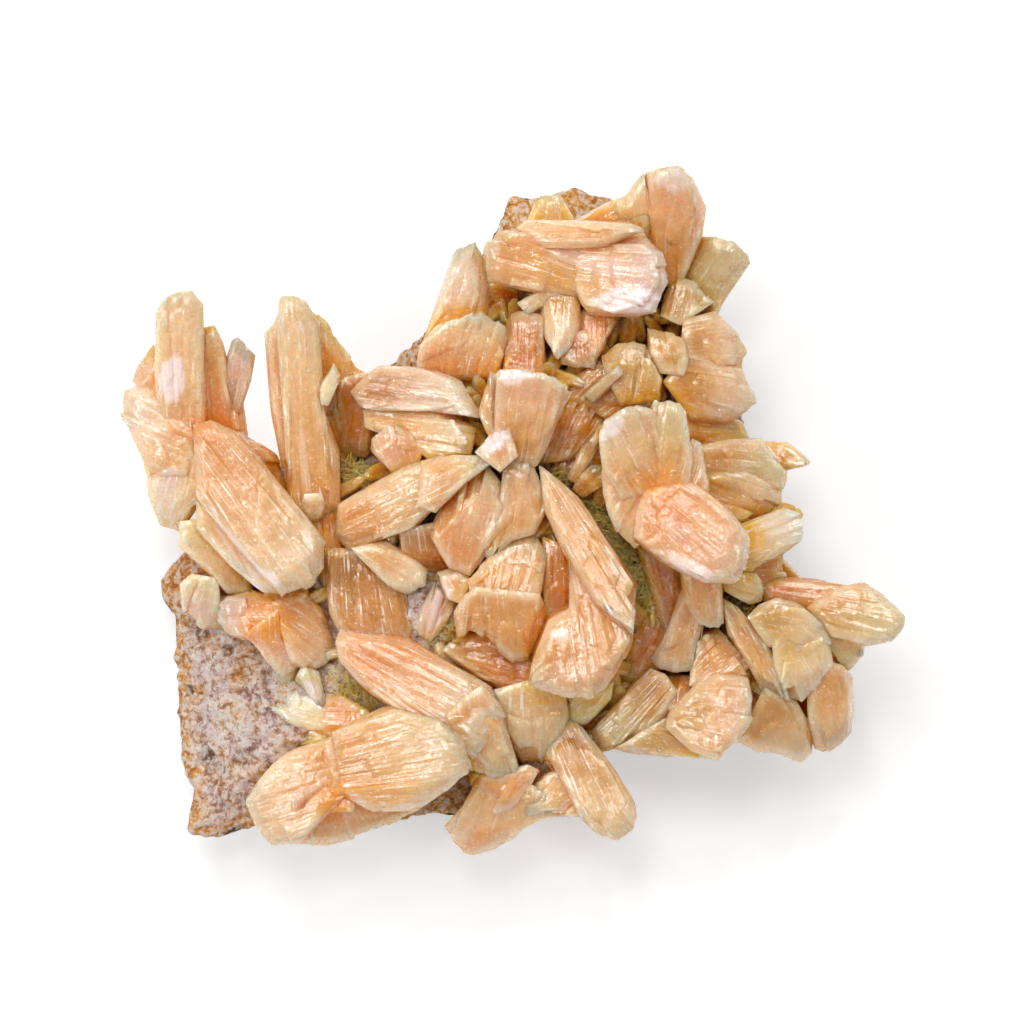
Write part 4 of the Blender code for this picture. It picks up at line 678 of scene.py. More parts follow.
# Each sheaf with its node and the slot of its finish
SHEAVES = [
    (rosette, "stilbite_rosette", "stilbite_peach"),
    (broad_crystal, "stilbite_broad_crystal", "stilbite_pink"),
    (curved_blade, "stilbite_curved_blade", "stilbite_cream"),
    (arch, "stilbite_arch", "stilbite_peach"),
    (centre_pair, "stilbite_centre_pair", "stilbite_peach"),
    (centre_fan, "stilbite_centre_fan", "stilbite_peach"),
    (upper_sheaf, "stilbite_upper_sheaf", "stilbite_pink"),
    (hexagon_blade, "stilbite_hexagon_blade", "stilbite_peach"),
    (upper_right_lumps, "stilbite_upper_right_lumps", "stilbite_amber"),
    (honey_blades, "stilbite_honey_blades", "stilbite_amber"),
    (top_blade, "stilbite_top_blade", "stilbite_peach"),
    (silky_crystal, "stilbite_silky_crystal", "stilbite_cream"),
    (right_lump, "stilbite_right_lump", "stilbite_green"),
    (grainy_lump, "stilbite_grainy_lump", "stilbite_cream"),
    (right_point, "stilbite_right_point", "stilbite_cream"),
    (pink_fan, "stilbite_pink_fan", "stilbite_pink"),
    (amber_plates, "stilbite_amber_plates", "stilbite_amber"),
    (green_blades, "stilbite_green_blades", "stilbite_green"),
    (lower_bowtie, "stilbite_lower_bowtie", "stilbite_peach"),
    (long_blade, "stilbite_long_blade", "stilbite_peach"),
    (left_bowtie, "stilbite_left_bowtie", "stilbite_peach"),
    (tall_blade, "stilbite_tall_blade", "stilbite_peach"),
    (left_fan, "stilbite_left_fan", "stilbite_peach"),
    (small_wedges, "stilbite_small_wedges", "stilbite_peach"),
    (yellow_blade, "stilbite_yellow_blade", "stilbite_cream"),
    (bottom_lobes, "stilbite_bottom_lobes", "stilbite_peach"),
]

# Patches of another colour: middle, half length, half width, turn in degrees, colour, strength
# and share of painted pearly sheen; the pale ones with sheen are painted highlights on facets, and the
# black specks carry it to stay crisp
PATCHES = [
    ((-56.8, 22), 4.5, 2.6, 80, "painted_sheen", 0.75, 1.0),
    ((-52.5, 14), 4.0, 3.0, 0, "orange", 0.6, 0.0),
    ((-46, -6), 8.5, 1.2, -52, "painted_sheen", 0.5, 0.8),
    ((-41, -11.5), 3.2, 2.2, -30, "painted_sheen", 0.8, 1.0),
    ((-57, 5), 3.0, 2.0, 70, "lilac", 0.6, 0.8),
    ((-40, -18.5), 4.6, 3.4, 0, "flame", 1.0, 0.0),
    ((-34.2, 2), 12.0, 1.0, 94, "white", 0.35, 0.6),
    ((-29.5, -48), 4.2, 3.0, 60, "flame", 1.0, 0.0),
    ((23.8, 5.3), 4.2, 3.0, 10, "flame", 0.9, 0.0),
    ((28.5, -4), 3.5, 2.0, -30, "rose", 0.6, 0.2),
    ((30, -9.5), 5.0, 1.6, -28, "painted_sheen", 0.55, 1.0),
    ((16.2, 13.6), 3.6, 1.4, 40, "painted_sheen", 0.7, 1.0),
    ((19, 35), 6.5, 2.6, 2, "painted_sheen", 0.75, 1.0),
    ((13, 41.5), 8.0, 2.0, -14, "lilac", 0.5, 0.8),
    ((27, 55), 4.0, 1.8, 0, "painted_sheen", 0.5, 0.8),
    ((0.5, 22.4), 4.0, 1.5, 0, "painted_sheen", 0.7, 1.0),
    ((-3, 11.5), 2.6, 1.4, 50, "painted_sheen", 0.8, 1.0),
    ((-12.4, -16), 5.0, 2.0, 70, "lilac", 0.8, 1.0),
    ((8, -20), 2.0, 1.2, 10, "painted_sheen", 0.7, 1.0),
    ((16, -15.9), 0.9, 0.6, -20, "black", 1.0, 1.0),
    ((-33.5, -30), 3.0, 1.6, -70, "painted_sheen", 0.7, 1.0),
    ((-6, -55), 5.0, 1.6, 25, "flame", 0.6, 0.0),
    ((58.2, -23.5), 1.0, 0.7, 30, "black", 0.9, 1.0),
]

# Places where the druse bulges outward: middle, half width and push
BULGES = [((-57, -12), 6, 2.0), ((-49, -52), 8, 3.4), ((-57, -43), 6, 1.2), ((-1, 54), 5, 0.8)]

# Pits in the druse: middle, half width and strength
PITS = [((-51, -41), 1.2, 1.0), ((-47.5, -23), 1.0, 1.0), ((-45, -52.5), 1.3, 1.0),
        ((-54, -30), 0.8, 1.0)]

# Small crystals that close gaps beside the rock
GAP_CRYSTALS = [
    crystal("honey", "tan", [(-33, 9), (-32.5, 17), (-29, 19.5), (-25.5, 14), (-26, 8)],
            low=(-27.5, 9, 21), high=(-30, 18, 27), thick=5),
]

# Gaps that the small crystals leave open: middle, half length, half width and turn
CLEARINGS = [
    ((-25.5, 6.5), 3.4, 2.6, -20),
    ((-11.5, -20.5), 3.0, 3.6, -20),
    ((-26.5, -29.5), 5.6, 4.0, -30),
    ((9, 6), 2.2, 1.5, 0),
    ((17.0, -5.5), 10.5, 3.4, -58),
    ((2.5, -26), 1.6, 1.4, 0),
    ((4.5, -43.5), 1.6, 1.2, 0),
    ((11, 51.5), 9.0, 4.5, 0),
    ((-11, -48), 6.0, 4.6, 20),
    ((38.5, -16), 2.6, 1.8, -30),
    ((-20.5, 23.5), 2.6, 1.6, 20),
]

# Tufts of mordenite needles: middle, half length, half width, turn, height and number
TUFTS = [
    ((13.5, 1.5), 4.0, 2.2, -60, 31, 420),
    ((18.0, -6.0), 6.0, 3.0, -60, 31, 700),
    ((21.5, -13.0), 4.0, 2.4, -70, 30, 420),
    ((38.5, -16.0), 2.6, 1.6, -30, 28, 200),
    ((8.6, 6.0), 2.2, 1.6, 0, 30, 160),
    ((-26.0, -29.0), 5.0, 3.4, -30, 24, 380),
    ((-26.0, 6.5), 3.0, 2.2, -20, 25, 240),
    ((-11.5, -20.5), 2.6, 3.0, -20, 24, 160),
    ((13.5, -35.5), 2.0, 1.2, -40, 22, 90),
]


# Shape of a crystal


def rock_top(x, y):
    """Rough height of the rock under a point of the plan."""
    out = min(1.0, math.hypot(x, y) / ROCK_REACH)
    return ROCK_RIM + (ROCK_CROWN - ROCK_RIM) * (1 - out ** DOME_POWER)


def plan_area(outline):
    """Area of a crystal's plan."""
    turns = zip(outline, outline[1:] + outline[:1])
    return abs(sum(a[0] * b[1] - b[0] * a[1] for a, b in turns)) / 2


def foot_height(item):
    """Height of a crystal's back at its root."""
    if item.foot is not None:
        return item.foot
    if math.hypot(item.low.x, item.low.y) > ROCK_REACH:
        return item.low.z - FREE_DEPTH
    return min(rock_top(item.low.x, item.low.y) - ROOT_DEPTH, item.low.z - item.thick)


def longest_stretch(apex, angle, outline):
    """Where a ray from a point enters and leaves an outline, on its longest stretch inside it."""
    ray = (math.cos(angle), math.sin(angle))
    meets = []
    for start, end in zip(outline, outline[1:] + outline[:1]):
        side = (end[0] - start[0], end[1] - start[1])
        cross = ray[0] * side[1] - ray[1] * side[0]
        if abs(cross) < 1e-9:
            continue
        gap = (start[0] - apex.x, start[1] - apex.y)
        share = (gap[0] * ray[1] - gap[1] * ray[0]) / cross
        if 0 <= share < 1:
            meets.append((gap[0] * side[1] - gap[1] * side[0]) / cross)
    meets.sort()
    stretches = list(zip(meets[0::2], meets[1::2]))
    return max(stretches, key=lambda pair: pair[1] - pair[0], default=(0.0, 0.0))


def slope_of(item, plan):
    """How far each point of the plan is on the way from root to free end, and its face's level."""
    root = item.low.to_2d()
    run = (item.high - item.low).to_2d()
    along = (plan - np.array(root)) @ np.array(run) / run.length_squared
    return along, item.low.z + (item.high.z - item.low.z) * along


def fan_of(item):
    """The rays that a crystal's laths follow: their common point, angles, starts and ends."""
    root = item.low.to_2d()
    ahead = (item.high.to_2d() - root).normalized()
    behind = min((Vector(corner) - root).dot(ahead) for corner in item.outline)
    apex = root + ahead * (behind - item.fan)
    heading = math.atan2(ahead.y, ahead.x)
    turned = []
    for corner in item.outline:
        away = Vector(corner) - apex
        angle = math.atan2(away.y, away.x) - heading
        turned.append((angle + math.pi) % (2 * math.pi) - math.pi)
    middle = sum((Vector(corner) for corner in item.outline), Vector((0, 0))) / len(item.outline)
    reach = (middle - apex).length
    width = (max(turned) - min(turned)) * reach
    columns = max(6, round(width / COLUMN))
    margin = 0.3 * (max(turned) - min(turned)) / columns
    angles = np.linspace(min(turned) + margin, max(turned) - margin, columns + 1) + heading
    spans = np.array([longest_stretch(apex, angle, item.outline) for angle in angles])
    return apex, reach, angles, spans[:, 0], spans[:, 1]


def lath_pattern(count, width, chance):
    """For each column across a crystal: its lath's number, middle, drop, retreat and roll."""
    columns = []
    number = 0
    while len(columns) < count:
        wide = max(1, round(chance.uniform(*LATH_WIDTHS) / width))
        middle = (len(columns) + (wide - 1) / 2) * width
        lath = (number, middle, chance.random() ** 2, chance.random() ** 2, chance.gauss(0, 1))
        columns += [lath] * wide
        number += 1
    return np.array(columns[:count]).T


def distance_to_rim(points, outline):
    """Distance from each point of the plan to an outline."""
    best = np.full(len(points), 1e9)
    for start, end in zip(outline, outline[1:] + outline[:1]):
        start = np.array(start, float)
        side = np.array(end, float) - start
        share = np.clip((points - start) @ side / (side @ side), 0, 1)
        best = np.minimum(best, np.linalg.norm(points - start - share[:, None] * side, axis=1))
    return best


def stack(*values):
    """Points from their coordinates."""
    return np.stack(np.broadcast_arrays(*values), axis=1).astype(float)


def noises(points, spacing, seed):
    """Smooth noise from about -1 to 1 at each point; spacing is its scale along each axis."""
    scaled = points / np.array(spacing, float) + seed
    cell = np.floor(scaled).astype(np.int64)
    part = scaled - cell
    fade = part * part * (3 - 2 * part)
    total = np.zeros(len(points))
    for corner in itertools.product((0, 1), repeat=3):
        corner = np.array(corner)
        key = ((cell + corner) @ SCRAMBLE) & 0xFFFFFFFF
        key = ((key ^ (key >> 13)) * SCATTER) & 0xFFFFFFFF
        slopes = np.stack([(key >> shift) & 255 for shift in (4, 12, 20)], axis=1) / 127.5 - 1
        weight = np.prod(np.where(corner, fade, 1 - fade), axis=1)
        total += weight * np.sum(slopes * (part - corner), axis=1)
    return 1.3 * total


def smooth(low, high, value):
    """A share that rises smoothly from 0 at low to 1 at high."""
    part = np.clip((value - low) / (high - low), 0, 1)
    return part * part * (3 - 2 * part)


Grid = namedtuple("Grid", "plan across distance end_gap share rim breadth")


def face_relief(item, grid, laths, chance, seed):
    """Height of each point of a broad face over its plane."""
    number, middle, drop, retreat, roll = laths
    bevel = max(0.5, BEVEL_SHARE * math.sqrt(plan_area(item.outline)))
    height = -BEVEL_SLOPE * bevel * (1 - np.clip(grid.rim / bevel, 0, 1)) ** BEVEL_BOW

    # Flanks that fall away on both sides of the broad face
    left = chance.uniform(*LEFT_FLANK) * grid.breadth
    right = chance.uniform(*RIGHT_FLANK) * grid.breadth
    fall = 0 if item.flat else min(ROOF_FALL, 0.16 * grid.breadth)
    for edge, side in ((left, left - grid.across), (grid.breadth - right, grid.across - right)):
        height -= chance.uniform(0.1, 1) * fall * np.clip(side, 0, None) / edge

    # Laths, each a little lower and rolled a little
    height -= LATH_DROP * drop * (0.4 + item.silk)
    height += LATH_ROLL * roll * (0.5 + item.silk) * (grid.across - middle)

    # A facet at the free end, set back by a different length on each lath
    longest = grid.distance.max() - grid.distance.min()
    back = min(chance.uniform(*END_BACK), 0.25 * longest) * (0.5 + 0.9 * retreat + 0.3 * drop)
    back = back * (0.2 if item.flat else 1.0)
    height -= chance.uniform(*END_SLOPE) * np.clip(back - grid.end_gap, 0, None)

    # Growth steps that follow the rim near the free end
    ragged = noises(stack(grid.across, number * 3.1, 0), (1.6, 1, 1), seed + 3)
    for _ in range(chance.choice((1, 1, 2))):
        edge = chance.uniform(*TERRACE_WIDTHS) + 0.5 * ragged
        height -= TERRACE_DROP * smooth(0.25, -0.25, grid.rim - edge) * smooth(0.3, 0.6, grid.share)

    # Striations, low lumps and chips
    fine = stack(grid.across, grid.distance * 0.06, 0)
    height += STRIAE * item.silk * noises(fine, (0.9, 1, 1), seed)
    height += STRIAE * 0.6 * noises(fine, (2.6, 1, 1), seed + 9)
    flat = stack(grid.plan[:, 0], grid.plan[:, 1], 0)
    height += SWELL * item.lumps * noises(flat, (3.2, 3.2, 1), seed + 5)
    height += 0.35 * SWELL * item.lumps * noises(flat, (1.3, 1.3, 1), seed + 6)
    chips = smooth(0.22, 0.5, noises(flat, (1.7, 1.7, 1), seed + 7))
    height -= CHIPS * chips * smooth(1.5, 0.3, grid.rim)
    return height


def draw_walls(shape, item, middle, seed):
    """Draw a broad face's rim down to the crystal's back, layer by layer, and close it."""
    root = item.low.to_2d()
    run = (item.high - item.low).to_2d()
    foot = foot_height(item)
    loop = [edge for edge in shape.edges if edge.is_boundary]
    rims = {vert: vert.co.copy() for edge in loop for vert in edge.verts}
    depth = (item.low.z - foot + item.thick) / 2
    layers = max(3, round(depth / LAYER))
    for layer in range(1, layers + 1):
        part = layer / layers
        # Each new corner keeps the place of the corner of the rim that it hangs under
        drawn = bmesh.ops.extrude_edge_only(shape, edges=loop)["geom"]
        ring = [vert for vert in drawn if isinstance(vert, bmesh.types.BMVert)]
        loop = [edge for edge in drawn if isinstance(edge, bmesh.types.BMEdge) and edge.is_boundary]
        for vert in ring:
            rims[vert] = next(rims[edge.other_vert(vert)] for edge in vert.link_edges
                              if edge.other_vert(vert) in rims and edge not in loop)
        # It moves towards the back, and out or in with its plate
        for vert in ring:
            start = rims[vert]
            back = root + (start.to_2d() - root) * (1 - item.shrink)
            slope = (start.to_2d() - root).dot(run) / run.length_squared
            low = min(foot + (item.high.z - item.thick - foot) * slope, start.z - 1.0)
            out = (start.to_2d() - middle).normalized()
            plate = noise.noise(Vector((start.x / 7, start.y / 7, seed + layer * 0.83)))
            fold = noise.noise(Vector((start.x / 1.5, start.y / 1.5, seed + layer * 0.15)))
            spread = PLATE_RELIEF * (1.4 * plate + 0.5 * fold) if layer < layers else 0.0
            place = start.to_2d().lerp(back, part) + out * spread
            vert.co = (place.x, place.y, start.z + (low - start.z) * part)
    bmesh.ops.contextual_create(shape, geom=loop)


def crystal_mesh(item, seed):
    """A crystal as a bmesh in millimetres: a striated broad face over walls of stacked plates."""
    chance = random.Random(seed)
    apex, reach, angles, near, far = fan_of(item)
    columns = len(angles)
    width = (angles[-1] - angles[0]) * reach / (columns - 1)
    laths = lath_pattern(columns, width, chance)
    length = far - near
    nicks = np.array([noise.noise(Vector((seed, 1.7 * index, 0))) for index in range(columns)])
    short = LATH_RETREAT * laths[3] * (0.3 + item.silk) + TIP_NICKS * np.abs(nicks)
    far = far - np.minimum(short, 0.2 * length)
    rows = max(6, round(length.max() / ROW))

    # A grid with one column along each ray, raised into laths
    shape = bmesh.new()
    bmesh.ops.create_grid(shape, x_segments=columns - 1, y_segments=rows, size=1.0)
    places = np.array([vert.co for vert in shape.verts])
    column = np.clip(np.round((places[:, 0] + 1) / 2 * (columns - 1)).astype(int), 0, columns - 1)
    share = (places[:, 1] + 1) / 2
    distance = near[column] + (far - near)[column] * share
    ways = stack(np.cos(angles[column]), np.sin(angles[column]))
    plan = np.array(apex) + distance[:, None] * ways
    grid = Grid(plan, (angles[column] - angles[0]) * reach, distance, far[column] - distance, share,
                distance_to_rim(plan, item.outline), (columns - 1) * width)
    level = slope_of(item, plan)[1]
    height = face_relief(item, grid, laths[:, column], chance, seed)
    for vert, spot, rise in zip(shape.verts, plan, level + height):
        vert.co = (spot[0], spot[1], rise)
    shape.normal_update()
    if sum(face.normal.z for face in shape.faces) < 0:
        bmesh.ops.reverse_faces(shape, faces=shape.faces[:])

    # Walls down to the back
    turn = angles.mean()
    draw_walls(shape, item, apex + reach * Vector((math.cos(turn), math.sin(turn))), seed)
    bmesh.ops.recalc_face_normals(shape, faces=shape.faces)
    bmesh.ops.triangulate(shape, faces=[face for face in shape.faces if len(face.verts) > 4])
    return shape, (apex, reach)


def growths(item, seed):
    """Laths that stand a little proud of a large crystal's broad face."""
    chance = random.Random(seed)
    apex, _, angles, near, far = fan_of(item)
    root = item.low.to_2d()
    run = (item.high - item.low).to_2d()
    last = len(angles) - 1

    def spot(column, share):
        distance = float(near[column] + share * (far[column] - near[column]))
        return apex + distance * Vector((math.cos(angles[column]), math.sin(angles[column])))

    def raised(place, rise):
        along = (place - root).dot(run) / run.length_squared
        return (place.x, place.y, item.low.z + (item.high.z - item.low.z) * along + rise)

    made = []
    for _ in range(min(GROWTH_MOST, int(plan_area(item.outline) / GROWTH_AREA))):
        wide = chance.uniform(*GROWTH_WIDTHS)
        start = chance.uniform(0.02, 0.98 - wide)
        first = int(last * start)
        final = max(first + 4, int(last * (start + wide)))
        if final > last:
            continue
        middle = (first + final) // 2
        back = chance.uniform(0.0, 0.5)
        front = chance.uniform(0.72, 1.0)
        outline = [spot(middle, back), spot(first, back + 0.07),
                   spot(first, front - 0.08 * chance.random()), spot(middle, front),
                   spot(final, front - 0.08 * chance.random()), spot(final, back + 0.05)]
        rise = chance.uniform(*GROWTH_RISES)
        low = raised(outline[0], rise)
        high = raised(outline[3], rise + chance.uniform(-GROWTH_PITCH, GROWTH_PITCH))
        made.append(crystal(item.root, item.tip, [tuple(place) for place in outline], low=low,
                            high=high, thick=GROWTH_THICK, foot=low[2] - GROWTH_THICK,
                            shrink=0.04, silk=item.silk, lumps=item.lumps, clear=item.clear,
                            fan=item.fan, flat=True))
    return made


# Colour of a crystal


def blend_colours(first, second, share):
    """Colours that run from the first to the second."""
    share = share[:, None]
    return first * (1 - share) + second * share


def oval_distance(x, y, centre, half_length, half_width, turn):
    """How far a point is from an oval's middle, where its edge is 1."""
    cosine = math.cos(math.radians(turn))
    sine = math.sin(math.radians(turn))
    first = ((x - centre[0]) * cosine + (y - centre[1]) * sine) / half_length
    second = ((y - centre[1]) * cosine - (x - centre[0]) * sine) / half_width
    return np.hypot(first, second)


def paint(item, places, guide, seed):
    """Colour with painted rim glow, wall shade and pearly sheen, lath coordinates, share of painted
    sheen, silk and clearness at each point of a crystal.
    """
    apex, reach = guide
    plan = places[:, :2]
    along, level = slope_of(item, plan)
    depth = np.clip(level - places[:, 2], 0, None)
    away = plan - np.array(apex)
    run = (item.high - item.low).to_2d()
    angle = np.arctan2(away[:, 1], away[:, 0]) - math.atan2(run.y, run.x)
    across = ((angle + math.pi) % (2 * math.pi) - math.pi) * reach
    distance = np.linalg.norm(away, axis=1)
    wander = noises(places, (6, 6, 6), seed + 11)

    # From the root's colour to the tip's, paler at the free end, with a painted glow of light along the
    # thin rim
    start = PALETTE[item.root] * ROOT_TINT
    end = PALETTE[item.tip] * TIP_TINT
    colour = blend_colours(start, end, smooth(0.05, 0.95, along + 0.22 * wander))
    colour = blend_colours(colour, PALETTE["pale"], 0.45 * smooth(0.74, 1.0, along + 0.1 * wander))
    rim = distance_to_rim(plan, item.outline)
    # Painted glow: paler along the thin rim of the broad face
    edge = smooth(2.2, 0.1, rim + 0.5 * wander) * smooth(2.6, 0.4, depth)
    colour = blend_colours(colour, PALETTE["painted rim glow"], (0.5 + 0.25 * wander) * edge)

    # Painted shade: deeper orange down the walls, below the broad face
    wall_shade = PALETTE["orange"] * 0.6 + start * 0.4
    colour = blend_colours(colour, wall_shade, 0.6 * smooth(2.0, 10.0, depth))

    # Patches, streaked along the laths; the pearly ones are painted sheen
    blades = noises(stack(across, distance * 0.03, 0), (1.1, 1, 1), seed + 12)
    painted_sheen = np.zeros(len(places))
    for centre, half_length, half_width, turn, name, strength, sheen in PATCHES:
        off = oval_distance(plan[:, 0], plan[:, 1], centre, half_length, half_width, turn)
        off = off + 0.3 * wander + 0.45 * blades
        share = strength * (1 - smooth(*((0.7, 0.95) if sheen else (0.4, 1.4)), off))
        colour = blend_colours(colour, PALETTE[name], share)
        painted_sheen = np.maximum(painted_sheen, sheen * share)
    silk = np.full(len(places), item.silk)
    clear = item.clear * (1 - painted_sheen) * (0.5 + 1.3 * smooth(0.45, 1.0, along))
    return np.column_stack([colour, across, distance, depth, painted_sheen, silk, clear])


# Building tools


def object_from(name, shape):
    """Turn a bmesh in millimetres into an object in metres and link it to the scene."""
    bmesh.ops.scale(shape, vec=(MM, MM, MM), verts=shape.verts)
    mesh = bpy.data.meshes.new(name)
    shape.to_mesh(mesh)
    shape.free()
    made = bpy.data.objects.new(name, mesh)
    bpy.context.scene.collection.objects.link(made)
    return made


def apply_modifiers(made):
    """Replace an object's mesh by what its modifiers make of it."""
    depsgraph = bpy.context.evaluated_depsgraph_get()
    mesh = bpy.data.meshes.new_from_object(made.evaluated_get(depsgraph))
    made.modifiers.clear()
    made.data = mesh


def join_solids(target, others):
    """Join other solids to target and remove them."""
    group = bpy.data.collections.new("operands")
    for other in others:
        group.objects.link(other)
    change = target.modifiers.new("join", "BOOLEAN")
    change.operation = "UNION"
    change.operand_type = "COLLECTION"
    change.collection = group
    change.solver = "MANIFOLD"
    apply_modifiers(target)
    for other in others:
        bpy.data.objects.remove(other, do_unlink=True)
    bpy.data.collections.remove(group)


def vertex_vectors(mesh, field):
    """A vector of each of a mesh's vertices: its place, co, or its normal."""
    values = np.zeros(len(mesh.vertices) * 3, np.float32)
    mesh.vertices.foreach_get(field, values)
    return values.reshape(-1, 3).astype(float)


def vertex_places(mesh):
    """A mesh's vertices in millimetres."""
    return vertex_vectors(mesh, "co") / MM


def add_attribute(mesh, name, kind, values):
    """Give a mesh's vertices an attribute."""
    old = mesh.attributes.get(name)
    if old:
        mesh.attributes.remove(old)
    layer = mesh.attributes.new(name, kind, "POINT")
    field = {"FLOAT_COLOR": "color", "FLOAT_VECTOR": "vector", "FLOAT": "value"}[kind]
    layer.data.foreach_set(field, np.ascontiguousarray(values, np.float32).ravel())


def add_tint(mesh, colour):
    """Give a mesh's vertices their colour."""
    add_attribute(mesh, "tint", "FLOAT_COLOR", np.column_stack([colour, np.ones(len(colour))]))


def dress(mesh, painted):
    """Write the values that paint() gives to a mesh's vertices."""
    add_tint(mesh, painted[:, 0:3])
    add_attribute(mesh, "grain", "FLOAT_VECTOR", painted[:, 3:6])
    for name, column in (("painted_sheen", 6), ("silk", 7), ("clear", 8)):
        add_attribute(mesh, name, "FLOAT", painted[:, column])


def finish_piece(made, node, material, angle):
    """Shade a piece, give it its material and let it stand for its node."""
    made.data.shade_smooth()
    made.data.set_sharp_from_angle(angle=math.radians(angle))
    made.data.materials.clear()
    made.data.materials.append(material)
    if node:
        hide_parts(node)
    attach(made, "root")


def build_sheaf(crystals, node, material, seed):
    """Grow a sheaf's crystals, join them and paint them."""
    solids = []
    painted = []
    places = []
    for number, item in enumerate(crystals):
        own_seed = seed + CRYSTAL_SEED * number
        shape, guide = crystal_mesh(item, own_seed)
        shapes = [shape] + [crystal_mesh(growth, own_seed + GROWTH_SEED * (count + 1))[0]
                            for count, growth in enumerate(growths(item, seed + number))]
        for shape in shapes:
            own = np.array([vert.co for vert in shape.verts])
            places.append(own)
            painted.append(paint(item, own, guide, seed + number))
            solids.append(object_from("solid", shape))

    # Join them, and give each corner the paint of the crystal's corner nearest to it
    places = np.concatenate(places)
    painted = np.concatenate(painted)
    tree = kdtree.KDTree(len(places))
    for index, place in enumerate(places):
        tree.insert(place, index)
    tree.balance()
    sheaf = solids[0]
    sheaf.name = node.replace("stilbite_", "") + "_crystals" if node else "crevice_crystals"
    if solids[1:]:
        join_solids(sheaf, solids[1:])
    nearest = [tree.find(place)[1] for place in vertex_places(sheaf.data)]
    dress(sheaf.data, painted[nearest])
    finish_piece(sheaf, node, material, CRYSTAL_EDGE)
    return sheaf


# Crevices


def crown_map(sheaves):
    """Mean height of the crystals' tops around each cell of the plan, or 0 where none is near."""
    tops = np.zeros((CELLS, CELLS))
    for sheaf in sheaves:
        places = vertex_places(sheaf.data)
        cells = cells_of(places)
        np.maximum.at(tops, (cells[:, 0], cells[:, 1]), places[:, 2])
    total = tops.copy()
    weight = (tops > 0).astype(float)
    for _ in range(CROWN_BLURS):
        for array in (total, weight):
            array += sum(np.roll(array, step, axis) for step in (-1, 1) for axis in (0, 1))
    return np.where(weight > CROWN_WEIGHT, total / np.maximum(weight, 1e-6), 0)


def cells_of(places):
    """The cell of the crown map that each point lies in."""
    return np.clip((places[:, :2] / CELL + CELLS / 2).astype(int), 0, CELLS - 1)


def depth_below(crown, places):
    """How far each point lies below the tops of the crystals around it."""
    cells = cells_of(places)
    return crown[cells[:, 0], cells[:, 1]] - places[:, 2]


def paint_crevice_glow(sheaf, crown):
    """Painted shade and glow: deepen and warm a sheaf's colour below the crystals around it."""
    below = depth_below(crown, vertex_places(sheaf.data))
    layer = sheaf.data.attributes["tint"].data
    tint = np.zeros(len(layer) * 4, np.float32)
    layer.foreach_get("color", tint)
    tint = tint.reshape(-1, 4)
    # Painted shade and glow: deeper, warmer colour where light bounces between the crystals
    painted_glow = tint[:, :3] * PAINTED_CREVICE_TINT + PAINTED_CREVICE_GLOW
    tint[:, :3] = blend_colours(tint[:, :3], painted_glow, PAINTED_CREVICE_SHARE * smooth(-0.5, 6.0, below))
    layer.foreach_set("color", tint.ravel())


def tree_of(made):
    """A search tree over an object's faces."""
    return BVHTree.FromObject(made, bpy.context.evaluated_depsgraph_get())


def height_at(tree, x, y):
    """Height of a surface at a point of the plan, or None beside it."""
    spot = tree.ray_cast(Vector((x * MM, y * MM, SKY)), Vector((0, 0, -1)))[0]
    return spot.z / MM if spot else None


def under(trees, x, y):
    """Whether one of the surfaces covers a point of the plan."""
    return any(height_at(tree, x, y) is not None for tree in trees)


def small_crystal(chance, x, y, floor, top):
    """A small crystal that lies in a crevice, with its free end raised."""
    heading = chance.uniform(0, 2 * math.pi)
    ahead = Vector((math.cos(heading), math.sin(heading)))
    aside = Vector((-ahead.y, ahead.x)) * chance.uniform(*BED_WIDTHS) / 2
    long = ahead * chance.uniform(*BED_LENGTHS) / 2
    middle = Vector((x, y))
    corners = (-long, -0.7 * long + aside, 0.6 * long + aside, long + 0.4 * aside,
               long - 0.3 * aside, 0.5 * long - aside, -0.7 * long - aside)
    outline = [tuple(middle + corner) for corner in corners]
    rise = (top - floor) * chance.uniform(0.5, BED_RISE)
    return crystal(*chance.choice(BED_COLOURS), outline, low=(*(middle - long), floor + 0.4 * rise),
                   high=(*(middle + long), floor + rise), thick=3, foot=floor - 2)


def build_bed(sheaves, crown, crust, material):
    """Small crystals in the crevices between the large ones."""
    chance = random.Random(BED_DRAWS)
    trees = [tree_of(sheaf) for sheaf in sheaves]
    ground = tree_of(crust)
    bed = list(GAP_CRYSTALS)
    steps = int(2 * BED_REACH / BED_SPACING)
    for row in range(steps):
        for column in range(steps):
            x = (column + chance.random()) * BED_SPACING - BED_REACH
            y = (row + chance.random()) * BED_SPACING - BED_REACH
            cell = cells_of(np.array([[x, y]]))[0]
            top = crown[cell[0], cell[1]]
            floor = height_at(ground, x, y)
            if floor is None or top - floor < CREVICE_DEPTH:
                continue
            if any(oval_distance(x, y, *clearing) < 1 for clearing in CLEARINGS):
                continue
            ring = [(x + BED_RING * math.cos(turn), y + BED_RING * math.sin(turn))
                    for turn in np.linspace(0, 2 * math.pi, RING_POINTS, endpoint=False)]
            around = sum(under(trees, *place) for place in ring)
            if under(trees, x, y) or around < RING_COVERED:
                continue
            bed.append(small_crystal(chance, x, y, floor, top))
    return build_sheaf(bed, None, material, BED_SEED)


# Materials

# Sockets of a Mix node for its share and its two colours, and for the colour that it gives
MIX_SOCKETS = (0, 6, 7)
MIX_RESULT = 2


def new_material(name):
    """A node material with a Principled shader; returns it, its nodes and its shader."""
    material = bpy.data.materials.new(name)
    material.use_nodes = True
    tree = material.node_tree
    return material, tree, tree.nodes["Principled BSDF"]


def set_numbers(shader, numbers):
    """Set a shader's own sockets by name."""
    for name, number in numbers.items():
        shader.inputs[name].default_value = number


def opaque(name):
    """A colour of the palette with its alpha."""
    return (*PALETTE[name], 1)


